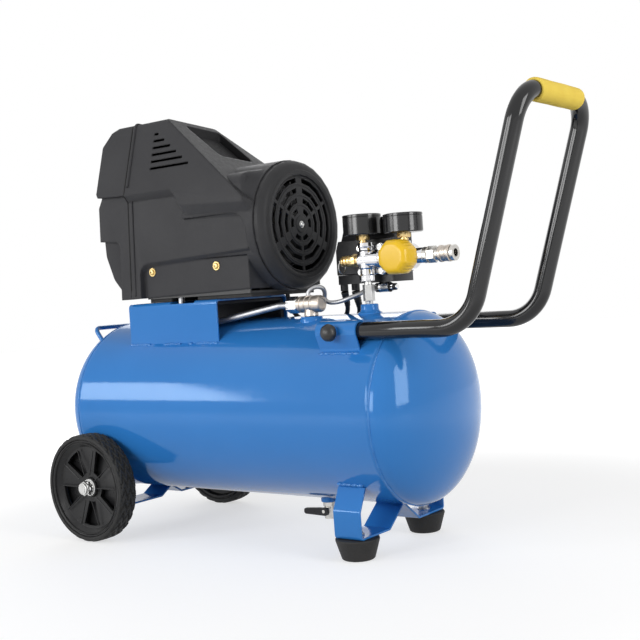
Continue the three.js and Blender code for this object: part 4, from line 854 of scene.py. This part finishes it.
for side_name, side in SIDES:
    tyre_name = "tyre_" + side_name
    make_piece(tyre_name + "_tread", tyre(side), tyre_rubber, "wheel_" + side_name, (tyre_name,), 40)

for side_name, side in SIDES:
    heads = [screw_head(x, z, side) for x, z in SHROUD_SCREWS]
    make_piece("shroud_screws_" + side_name, heads, gold_zinc)
    # dark crosses on the screw heads: painted shade of their recesses
    slot_shades = [slot_shade_cross(x, z, side) for x, z in SHROUD_SCREWS]
    make_piece("shroud_screw_slot_shades_" + side_name, slot_shades, dark_joint_and_shade)

foot_bolts = []
for y in (-FOOT_Y, FOOT_Y):
    foot_middle = (FOOT_X, y, 0)
    foot_bolts += [
        disc("z", 9.5, 30.9, 32.4, foot_middle), nut("z", 13, 32.4, 38.2, foot_middle),
        disc("z", 3.9, 38.0, 42.5, foot_middle),
    ]
make_piece("foot_bolts", foot_bolts, zinc_plate)

for side_name, side in SIDES:
    wheel = "wheel_" + side_name
    web = disc("y", 64.0, *outward(side, WHEEL_FACE - 22, WHEEL_FACE - 24), WHEEL_MIDDLE, 0.3, 64)
    make_piece("rim_web_" + side_name, web, rim_plastic, wheel)
    axle_nut = [
        disc("y", 12.6, *outward(side, AXLE_OUT - 1, AXLE_OUT + 1.8), WHEEL_MIDDLE, 0.5),
        disc("y", 7.6, *outward(side, AXLE_OUT + 8.0, AXLE_OUT + 9.4), WHEEL_MIDDLE, 1.0),
        nut("y", 20, *outward(side, AXLE_OUT + 1.8, AXLE_OUT + 8.4), WHEEL_MIDDLE),
    ]
    make_piece("axle_nut_" + side_name, axle_nut, bright_zinc)
    # a dark disc in the hollow round the axle end: painted shade
    hollow_shade = disc("y", 5.4, *outward(side, AXLE_OUT + 9.0, AXLE_OUT + 9.55), WHEEL_MIDDLE, 0.1)
    make_piece("axle_hollow_shade_" + side_name, hollow_shade, dark_joint_and_shade)
    axle_end = disc("y", 3.9, *outward(side, AXLE_OUT + 9.0, AXLE_OUT + 10.2), WHEEL_MIDDLE, 0.7)
    make_piece("axle_end_" + side_name, axle_end, zinc_plate)
    rings = [wheel_ring(side, RIM_RADIUS + more) for more in (-3.0, 3.2, 6.8)]
    make_piece("wheel_rings_" + side_name, rings, tyre_rubber, wheel)
    edges = [spoke_edge(side, a) for a in np.radians([a + t for a in range(18, 378, 72) for t in (-17, 17)])]
    make_piece("spoke_edges_" + side_name, edges, rim_plastic, wheel)

# ---------- welds ----------

# lumps of weld on either side: places along the tank, then distance across it, height, radius and stretch
WELD_SPOTS = (
    ((-186, -150, -66, -28, -17), 81.5, 282.6, 2.6, 1.5),
    ((178, 186, 196, 214, 222, 232), 98.0, 265.6, 2.2, 2.4),
    ((188, 196, 204, 212, 221), 90.6, 96.8, 2.7, 1.5),
)
# beads on either side: start and end along the tank, distance across it, height and radius
WELD_BEADS = (
    (185.5, 224.5, 90.2, 96.4, 1.9), (-247, -208, 107.8, 117.6, 1.9), (-184, -150, 81.3, 283.2, 1.6),
    (-120, -86, 81.3, 283.2, 1.6), (-54, -20, 81.3, 283.2, 1.6), (176, 234, 97.4, 266.2, 1.5),
)


def straight_bead(x0, x1, y, z, radius):
    """A bead along the tank at one place round it, wandering a little up and down."""
    x = np.linspace(x0, x1, int((x1 - x0) / 0.6) + 2)
    return weld_bead(np.stack([x, np.full(len(x), y), z + 0.25 * np.sin(x * 1.7)], -1), radius)


def weld_spot(place, radius, stretch):
    """A lump of weld metal: a flattened ball, drawn out along the tank."""
    around = np.linspace(0, 2 * np.pi, 20, endpoint=False)[None, :]
    down = np.linspace(0.06, np.pi - 0.06, 12)[:, None]
    girth = (1 + 0.08 * np.sin(3 * around + 5 * down)) * np.sin(down)
    ball = np.stack([stretch * girth * np.cos(around), girth * np.sin(around), 0 * around - np.cos(down)], -1)
    return skin(np.array(place) + radius * ball)


spots, beads = [], []
for _, side in SIDES:
    for places, y, z, radius, stretch in WELD_SPOTS:
        spots += [weld_spot((x, side * y, z), radius, stretch) for x in places]
    beads += [straight_bead(x0, x1, side * y, z, radius) for x0, x1, y, z, radius in WELD_BEADS]
make_piece("weld_spots", spots, enamel_weld)
make_piece("bracket_welds", beads, enamel_weld)

# ---------- shroud ----------

SHROUD_MIDDLE_Z = 470.0
SEAM_PLANE = -172.0
COVER_FACE = 88.0
GRILLE_FACE = 84.5
MOTOR_LINE = (0, 0, MOTOR_Z)
DRUM_RADIUS = 91.0
ROOF_FALL = 132.8 / 161.0
ROOF_TILT = 0.0765
ROOF_CORNER = (-99.0, -61.5, MOTOR_Z + 170.2)
POCKET_DEPTH = 15.4
SADDLE_TOP = TANK_TOP + 31.8

shroud_mesh = nodes["shroud_main"].data
shroud_skin = BVHTree.FromPolygons(
    [v.co for v in shroud_mesh.vertices], [f.vertices for f in shroud_mesh.polygons]
)


def shroud_outline(x, lowest, highest, lift):
    """Where lines drawn to the middle of the shroud at one place along it meet its skin, lifted off it."""
    path = []
    for angle in np.radians(np.linspace(lowest, highest, 160)):
        outwards = np.array([0.0, math.sin(angle), math.cos(angle)])
        start = spot(np.array([x, 0.0, SHROUD_MIDDLE_Z]) + outwards * 200.0)
        place = shroud_skin.ray_cast(start.tolist(), (-outwards).tolist(), 0.2)[0]
        if place is not None:
            path.append((np.array(place) - TANK_MIDDLE) / MM + outwards * lift)
    return np.array(path)


seam_line = evened(shroud_outline(SEAM_PLANE + 0.9, -140, 140, -0.5), 3.0)
make_piece("cover_seam", tube(seam_line + [-0.9, 0, 0], 1.15, 8), dark_joint_and_shade)
lip_line = evened(shroud_outline(SEAM_PLANE + 6.0, -62, 60, 0.2), 2.0)
make_piece("cover_lip", tube(lip_line, 2.4), shroud_plastic)
for side_name, side in SIDES:
    edge_line = [(SEAM_PLANE + 9.0, side * y, z) for y, z in ((83.9, 503.0), (86.4, 440.0), (89.4, 356.0))]
    make_piece("cover_edge_" + side_name, tube(evened(edge_line, 4.0), 1.5, 12), shroud_plastic)

grille_rings = []
for radius in (66.2, 55.0, 41.0, 27.0):
    bead = np.array([(-0.4, 1.3), (0.5, 0.9), (0.9, 0.0), (0.5, -0.9), (-0.4, -1.3)]) + [GRILLE_FACE, radius]
    grille_rings.append(lathe(bead, "x", MOTOR_LINE, 96, (False, False)))
make_piece("grille_rings", grille_rings, cover_plastic)
cover_step = [(-0.6, 77.0), (0.1, 76.4), (0.8, 75.4), (0.8, 71.6), (0.1, 70.5), (-0.6, 70.0)]
cover_step = placed(cover_step, COVER_FACE)
make_piece("cover_step", lathe(cover_step, "x", MOTOR_LINE, 120, (False, False)), cover_plastic)
boss = placed([(-1, 12.5), (0.6, 12.2), (1.2, 11.4), (1.2, 6.4), (0.2, 5.6)], GRILLE_FACE)
make_piece("grille_boss", lathe(boss, "x", MOTOR_LINE, 64), cover_plastic)
screw = placed([(1.0, 3.7), (2.4, 3.5), (3.2, 2.4), (2.2, 1.4)], GRILLE_FACE)
make_piece("grille_screw", [
    disc("x", 4.9, GRILLE_FACE, GRILLE_FACE + 1.2, MOTOR_LINE, 0.3), lathe(screw, "x", MOTOR_LINE, 32),
], zinc_plate)


def crown_fairing(side):
    """A swelling that leads the foot of the crown into the drum. Its distance from the motor's axis is the
    drum's radius plus a squared-cosine bump round the axis, and the bump dies away towards the front as a
    cosine ramp."""
    x = np.linspace(21, 71.6, 44)
    angle = np.radians(np.linspace(13, 62, 36))
    height = 16.8 * (0.5 + 0.5 * np.cos(np.pi * np.clip((x - 50.0) / 21.0, 0, 1)))
    bump = np.cos(np.clip((np.degrees(angle) - 38.0) / 24.0, -1, 1) * np.pi / 2) ** 2
    radius = DRUM_RADIUS + height[:, None] * bump[None, :]
    flank = side * radius * np.cos(angle)
    outer = np.stack([x[:, None] + 0 * flank, flank, MOTOR_Z + radius * np.sin(angle)], -1)
    inner = outer - [0, side * 3.0, 3.0]
    return skin(np.concatenate([outer, inner[:, ::-1]], 1)[::side])


for side_name, side in SIDES:
    make_piece("crown_fairing_" + side_name, crown_fairing(side), shroud_plastic)


def pocket_tray():
    """A near-black lining in the pocket in the front slope, painted shade for the recess: a rounded rectangle
    carried down four walls and in over the floor, which lies as deep below the sloping roof all over."""
    middle = np.array([-60.5, 3.0])
    outline = rounded_outline(63.6, 72.6, 4, middle)
    rings = []
    inner = middle + (outline - middle) * 0.1
    x, y, z = ROOF_CORNER
    for plan, drop in ((outline, 2.6), (outline, POCKET_DEPTH), (inner, POCKET_DEPTH)):
        roof = z - ROOF_TILT * (plan[:, 1] - y) - ROOF_FALL * (plan[:, 0] - x)
        rings.append(np.column_stack([plan, roof - drop]))
    return skin(rings, (False, True))


# the pocket's lining is painted shade: a near-black sheet where the recess lies in shade
make_piece("pocket_painted_shade_lining", pocket_tray(), pocket_painted_shade)
# dark sheets under the saddle's top and inside its far leg: painted shade where the saddle's underside lies
# in shadow under the motor
saddle_shade_sheets = [
    block(rounded_outline(168, 150, 3, (-103, 0)), "z", SADDLE_TOP - 8.0, SADDLE_TOP - 3.2, 0.5),
    block(rounded_outline(44, 168, 2, (TANK_TOP + 5.0, -103)), "y", 70.0, 77.6, 0.5),
]
make_piece("saddle_painted_shade", saddle_shade_sheets, shroud_plastic)
strip_plans = [rounded_outline(x1 - x0, 144, 3, ((x0 + x1) / 2, 0)) for x0, x1 in ((-152, -107), (-57, 46))]
strips = [block(plan, "z", SADDLE_TOP + 0.2, BASE_Z + 1.5, 0.4) for plan in strip_plans]
make_piece("vibration_strips", strips, foot_rubber)

# ---------- air line ----------

FLARE_X = 68.0
VALVE_Z = TANK_TOP + 16.8
ENTRY_X, ENTRY_Y = -95.0, -66.0
PORT_Y = -58.0
HEAD_Z = MOTOR_Z + 74.5
UNLOADER_Y = 26.0
UNLOADER_Z = SWITCH_LOW - 7
STUB_X = CHECK_X - 3
MANIFOLD_FOOT = LINE_Z - 29.5
MANIFOLD_TOP = LINE_Z + 22.5
REGULATOR_X = 252.0
KNOB_X = 201.0
LINE_MIDDLE = (0, 0, LINE_Z)
RISER_LINE = (RISER_X, 0, LINE_Z)
REGULATOR_LINE = (REGULATOR_X, 0, LINE_Z)
VALVE_MIDDLE = (0, CHECK_Y, VALVE_Z)
UNLOADER_LINE = (0, UNLOADER_Y, UNLOADER_Z)

discharge_path = rounded_path([
    (FLARE_X + 12, CHECK_Y, VALVE_Z, 0), (FLARE_X - 10, CHECK_Y, VALVE_Z, 20),
    (-31, -50, TANK_TOP + 0.3, 60), (-68, -62, TANK_TOP - 3.2, 25), (ENTRY_X, ENTRY_Y, TANK_TOP - 2.7, 14),
    (ENTRY_X, PORT_Y, HEAD_Z - 36, 60), (ENTRY_X, PORT_Y, HEAD_Z + 11, 0),
], 12)
discharge_pipe = tube(discharge_path, 4.75, 24)
make_piece("discharge_pipe", discharge_pipe, aluminium, replaces=("discharge_tube",), smooth=60)
unloader_path = flowing_path([
    [STUB_X, CHECK_Y, VALVE_Z + 10], [STUB_X, CHECK_Y, VALVE_Z + 16], [114, -25.5, VALVE_Z + 21],
    [120, -20, VALVE_Z + 23], [124.5, -14, VALVE_Z + 20.5], [124, -9, VALVE_Z + 14], [122, -7, VALVE_Z + 8],
    [123, -6.5, VALVE_Z + 3.5], [128, -5, VALVE_Z + 0.5], [136, -2.5, VALVE_Z], [146, 0, VALVE_Z + 1.5],
    [157, 4, VALVE_Z + 5], [167, 11, VALVE_Z + 9], [173, 19, UNLOADER_Z - 3], [178, 24.5, UNLOADER_Z - 0.5],
    [182, UNLOADER_Y, UNLOADER_Z], [186, UNLOADER_Y, UNLOADER_Z],
], 1.6)
unloader_pipe = tube(unloader_path, 3.0, 20)
make_piece("unloader_pipe", unloader_pipe, aluminium, replaces=("unloader_tube",), smooth=60)

check_body = [
    (92, 9.0), (93, 9.8), (95, 9.8), (95.6, 11.3), (99, 11.5), (99.8, 10.4), (101.4, 10.4), (102.2, 11.5),
    (108, 11.6), (108.8, 10.8), (110.4, 10.8), (111.2, 11.6), (117, 11.7), (118, 10.9), (120, 10.9),
    (121, 11.7), (129.5, 11.7), (131.4, 11.0), (132.4, 9.4), (132.4, 7.4), (131.6, 6.8), (131.6, 1.0),
]
check_neck = [
    (CHECK_FOOT_Z + 3.1, 9.0), (CHECK_FOOT_Z + 4.0, 9.8), (VALVE_Z - 10, 9.4), (VALVE_Z - 4, 8.6),
]
make_piece("check_valve_body", [
    lathe(check_body, "x", VALVE_MIDDLE, 56), lathe(check_neck, "z", (CHECK_X, CHECK_Y, 0), 40),
    disc("z", 4.8, VALVE_Z + 8, VALVE_Z + 12, (STUB_X, CHECK_Y, 0)),
], satin_nickel, replaces=("check_valve",))
make_piece("check_valve_nut", nut("x", 20.5, FLARE_X + 8, 93.5, VALVE_MIDDLE), bright_zinc)


def lobed_flange(x, radius, reach, start, end):
    """A round flange with four ears on its diagonals: its radius grows by a steep cosine towards each ear."""
    grow = 1 + (reach / radius - 1) * np.abs(np.cos(2 * (turns(96) - math.pi / 4))) ** 6
    return disc("y", radius, start, end, (x, 0, LINE_Z), 0.8, 96, grow[None, :])


column = [
    (MANIFOLD_FOOT, 8.8), (MANIFOLD_FOOT + 1, 11.0), (MANIFOLD_FOOT + 8, 11.2), (MANIFOLD_FOOT + 10, 9.8),
    (LINE_Z - 13, 9.8), (LINE_Z - 11, 11.4), (LINE_Z + 11, 11.4), (LINE_Z + 13, 9.8),
    (MANIFOLD_TOP - 7, 10.0), (MANIFOLD_TOP - 5, 11.4), (MANIFOLD_TOP, 10.4),
]
barrel_line = [
    (181.5, 10.0), (182.5, 11.8), (186, 12.4), (214, 12.2), (216, 10.8), (230, 10.8), (232, 12.0),
    (266, 12.0), (268, 10.4), (281, 10.2), (283, 9.2),
]
outlet_boss = [(LINE_Z, 9.0), (MANIFOLD_TOP - 3, 8.8), (MANIFOLD_TOP - 2, 8.2)]
make_piece("manifold_casting", [
    lathe(column, "z", (RISER_X, 0, 0)), lathe(barrel_line, "x", LINE_MIDDLE),
    lathe(outlet_boss, "z", (REGULATOR_X, 0, 0), 40), disc("y", 18.0, -2.0, 15.0, REGULATOR_LINE, 1.2, 56),
    disc("y", 8.5, 0.0, 13.0, RISER_LINE), lobed_flange(RISER_X, 20.5, 28.5, 12.0, 19.8),
    disc("y", 13.5, -15.0, -1.0, REGULATOR_LINE, 0.6, 48),
], chrome_plate, replaces=("manifold_body",))
flange_screws = []
for x, z in arc((RISER_X, LINE_Z), 23.0, 45, 315, 4):
    flange_screws += [disc("y", 5.2, 10.6, 12.2, (x, 0, z), 0.3, 28), nut("y", 8.0, 6.6, 10.8, (x, 0, z))]
make_piece("flange_screws", flange_screws, bright_zinc)

relief_body = [
    (150.5, 4.4), (150.9, 6.6), (152, 7.2), (155, 7.2), (155.6, 5.8), (156.8, 5.8), (157.4, 7.6),
    (160.6, 7.6), (161.2, 6.4), (162.4, 6.4), (163, 7.8), (165.6, 7.8), (166.2, 7.0), (168.5, 7.0),
]
make_piece("safety_valve_body", [
    lathe(relief_body, "x", LINE_MIDDLE, 40), nut("x", 15.6, 168.0, 175.5, LINE_MIDDLE),
    lathe([(175, 6.8), (176, 7.4), (181, 7.4), (182, 6.8)], "x", LINE_MIDDLE, 40),
], brass, replaces=("safety_valve",))


def regulator_cup():
    """A cup with eight soft flats: the radius is drawn in to each flat, less so towards the front face, and
    ribs run along four of the flats as a low cosine wave."""
    front = placed([(0, 0.6), (0, 14.0), (0.3, 17.0), (1.4, 19.4), (3.4, 21.6), (6.5, 23.2), (10.0, 23.9),
                    (14.0, 24.0)], -36.0)
    back = placed([(-8.0, 24.0), (-1.2, 23.6), (0, 22.6), (0, 13.8), (-9.4, 13.8), (-9.4, 0.6)], -6.0)
    turn = turns(192)
    step = math.pi / 4
    within = (turn + step / 2) % step - step / 2
    flat = math.cos(step / 2) / np.cos(within)
    has_ribs = np.floor((turn + step / 2) / step).astype(int) % 2
    strength = np.array([0.0, 0.35, 0.5, 0.7, 0.85, 1.0, 1.0, 1.0, 1.0, 1.0, 0.9, 0.0, 0.0, 0.0])
    ribbed = np.array([0, 0, 0, 0, 0, 0, 0.6, 1.0, 1.0, 0.4, 0, 0, 0, 0])
    wave = 0.5 + 0.5 * np.cos(within / (step / 2) * 3.5 * math.pi)
    rib = has_ribs * wave * (np.abs(within) < step * 0.42)
    swell = 1 - strength[:, None] * (1 - flat[None, :]) * 0.8 + 0.035 * ribbed[:, None] * rib[None, :]
    return lathe(np.vstack([front, back]), "y", REGULATOR_LINE, 192, swell=swell)


make_piece("regulator_cup", regulator_cup(), knob_yellow, "regulator", ("regulator_knob",), 45)
make_piece("coupler_washer", disc("x", 10.6, 283.2, 287.5, LINE_MIDDLE, 0.6), fitting_plastic)


def lock_knob(side):
    """A domed knob beside the handle: a turned profile with seven shallow flutes that fade out at its top."""
    profile = np.array([
        (121.2, 0.6), (121.0, 2.6), (120.2, 5.2), (118.6, 7.8), (116.0, 10.0), (113.0, 11.3), (110.6, 11.5),
        (108.8, 10.9), (108.2, 9.6), (108.1, 6.7), (104.4, 6.5),
    ]) * [side, 1]
    flute = 1 - 0.018 * (1 - np.cos(7 * turns(84)))[None, :] * np.clip(profile[:, 1:] / 9 - 0.4, 0, 1)
    return lathe(profile[::-side], "y", (KNOB_X, 0, HANDLE_Z), 84, swell=flute[::-side])


for side_name, side in SIDES:
    knob_name = "lock_knob_" + side_name
    make_piece("lock_knob_dome_" + side_name, lock_knob(side), knob_black, "knob_" + side_name, (knob_name,))

# ---------- gauges ----------

# name, place along the line, height of the case's underside and its depth
GAUGES = (("tank", 187.0, LINE_Z + 33, 28.0), ("outlet", REGULATOR_X, LINE_Z + 31.5, 25.5))
DIAL_START, DIAL_END = 225, -45
FIGURE_HEIGHT = 4.0


def dial_marks(x, level):
    """Short radial bars over three quarters of a turn, every fifth one longer and wider."""
    marks = []
    for step, angle in enumerate(np.radians(np.linspace(DIAL_START, DIAL_END, 41))):
        inner, half = (16.6, 0.32) if step % 5 == 0 else (18.2, 0.16)
        ahead = np.array([math.cos(angle), math.sin(angle)])
        across = np.array([-ahead[1], ahead[0]]) * half
        outer = ahead * 20.2
        inner = ahead * inner
        corners = np.array([outer + across, inner + across, inner - across, outer - across]) + [x, 0]
        marks.append(skin([np.column_stack([corners, np.full(4, z)]) for z in (level, level + 0.15)]))
    return together(marks)


def figure(text, x, y, level):
    """One number of a dial as flat faces, centred on its place."""
    curve = bpy.data.curves.new("figure", "FONT")
    curve.body = text
    curve.size = FIGURE_HEIGHT
    curve.align_x = "CENTER"
    curve.align_y = "CENTER"
    writing = bpy.data.objects.new("figure", curve)
    bpy.context.scene.collection.objects.link(writing)
    bpy.context.view_layer.update()
    mesh = bpy.data.meshes.new_from_object(writing.evaluated_get(bpy.context.evaluated_depsgraph_get()))
    points = np.zeros(len(mesh.vertices) * 3, np.float32)
    mesh.vertices.foreach_get("co", points)
    faces = [list(face.vertices) for face in mesh.polygons]
    bpy.data.objects.remove(writing)
    return points.reshape(-1, 3).astype(float) + [x, y, level], faces


for gauge_name, x, bottom, height in GAUGES:
    top = bottom + height
    dial = top - 8.9
    middle = (x, 0, 0)
    case = np.vstack([
        placed([(0, 0.6), (0, 24.2), (0.4, 25.2), (1.4, 26.0)], bottom),
        placed([(-4.6, 26.0), (-4.2, 25.5), (-3.8, 25.5), (-3.4, 26.1), (-0.9, 26.1), (-0.2, 25.4), (0, 24.6),
                (-0.3, 23.7), (-2.6, 23.6), (-2.6, 22.4), (-9, 22.4), (-9, 0.6)], top),
    ])
    cup = lathe(case, "z", middle, 96)
    make_piece("gauge_cup_" + gauge_name, cup, gauge_black, replaces=("gauge_case_" + gauge_name,))
    stem = [
        disc("z", 4.8, MANIFOLD_TOP - 4, bottom - 6.0, middle, 0.3),
        nut("z", 15.6, bottom - 6.6, bottom + 0.2, middle),
        disc("z", 6.2, MANIFOLD_TOP - 1, MANIFOLD_TOP + 1.2, middle, 0.4),
    ]
    make_piece("gauge_stem_" + gauge_name, stem, brass)
    face = disc("z", 22.2, dial - 0.2, dial + 0.3, middle, 0.1, 64)
    make_piece("gauge_dial_" + gauge_name, face, dial_white)
    places = arc((x, 0), 12.6, DIAL_START, DIAL_END, 5)
    figures = [figure(str(50 * step), *place, dial + 0.42) for step, place in enumerate(places)]
    make_piece("gauge_marks_" + gauge_name, [dial_marks(x, dial + 0.28), *figures], dial_ink)

# ---------- pressure switch ----------

switch_ribs = [block(rounded_outline(1.6, 46, 0.7, (x, 46)), "z", LINE_Z + 56.3, LINE_Z + 57.6, 0.3)
               for x in range(160, 208, 8)]
make_piece("switch_ribs", switch_ribs, fitting_plastic)
unloader_parts = [
    nut("x", 11, 186.2, 193, UNLOADER_LINE), disc("x", 7.0, 192.5, 210, UNLOADER_LINE, 1.4),
    nut("x", 9, 209.5, 215, UNLOADER_LINE), disc("x", 3.6, 214.5, 221, UNLOADER_LINE),
]
make_piece("unloader_fittings", unloader_parts, bright_zinc)

# ---------- stage ----------


def combined(tree, operation, first, second):
    """Two values joined by one step of arithmetic."""
    return added(tree, "Math", {0: first, 1: second}, operation=operation)


def seen_rays(tree):
    """One for the rays of the camera, the reflections and what is seen through a clear piece, else nought."""
    rays = tree.nodes.new("ShaderNodeLightPath").outputs
    seen = combined(tree, "MAXIMUM", rays["Is Camera Ray"], rays["Is Glossy Ray"])
    return combined(tree, "MAXIMUM", seen, rays["Is Transmission Ray"])


def shown_white(name, near, far):
    """A plain grey finish to which the camera and the reflections see a white glow added: near the object it
    is low enough to keep the shadow, and it rises to white with the distance from the middle of the floor."""
    material, tree, shader = new_material(name)
    fill(tree, shader, {"Base Color": (0.50, 0.50, 0.50, 1), "Roughness": 0.9})
    place = added(tree, "TexCoord", {}, "Object")
    distance = added(tree, "VectorMath", {0: place}, "Value", operation="LENGTH")
    rise = spread(tree, distance, near, far, 0.5, 1.25, "SMOOTHSTEP")
    glow = added(tree, "Emission", {"Strength": combined(tree, "MULTIPLY", rise, seen_rays(tree))})
    both = added(tree, "AddShader", {0: shader.outputs["BSDF"], 1: glow})
    fill(tree, tree.nodes["Material Output"], {"Surface": both})
    return material


def make_floor():
    """A wide flat floor, half a millimetre under the lowest point."""
    corners = [(x, y, -0.0005) for x, y in ((-6, -6), (6, -6), (6, 6), (-6, 6))]
    mesh = bpy.data.meshes.new("floor")
    mesh.from_pydata(corners, [], [[0, 1, 2, 3]])
    floor = bpy.data.objects.new("floor", mesh)
    bpy.context.scene.collection.objects.link(floor)
    mesh.materials.append(shown_white("floor_white", 0.58, 1.0))


def make_sky():
    """Even pale light from all round; the camera and the reflections see white."""
    world = bpy.data.worlds.new("studio")
    world.use_nodes = True
    tree = world.node_tree
    strength = spread(tree, seen_rays(tree), 0.35, 1.0, 0, 1)
    fill(tree, tree.nodes["Background"], {"Color": (1, 1, 1, 1), "Strength": strength})
    bpy.context.scene.world = world


def make_lamp(name, place, aim, size, power):
    """A soft rectangular lamp at a place in metres, turned to face another."""
    data = bpy.data.lights.new(name, "AREA")
    data.shape = "RECTANGLE"
    data.size, data.size_y = size
    data.energy = power
    back = np.array(place, float) - np.array(aim, float)
    back /= np.linalg.norm(back)
    right = np.cross([0, 0, 1], back)
    right /= np.linalg.norm(right)
    stand(bpy.data.objects.new(name, data), right, np.cross(back, right), back, place)


make_floor()
make_sky()
make_lamp("key", (-1.58, -2.12, 1.0), (0, 0, 0.3), (0.8, 0.8), 17)
make_lamp("front", (-0.3, -2.2, 0.7), (0, 0, 0.3), (0.9, 0.8), 17)
make_lamp("side", (2.15, -0.2, 0.9), (0, 0, 0.3), (0.8, 1.3), 20)
make_lamp("back", (-1.6, 1.5, 1.2), (0, 0, 0.4), (1.4, 1.0), 8)
bpy.context.scene.view_settings.view_transform = "Standard"

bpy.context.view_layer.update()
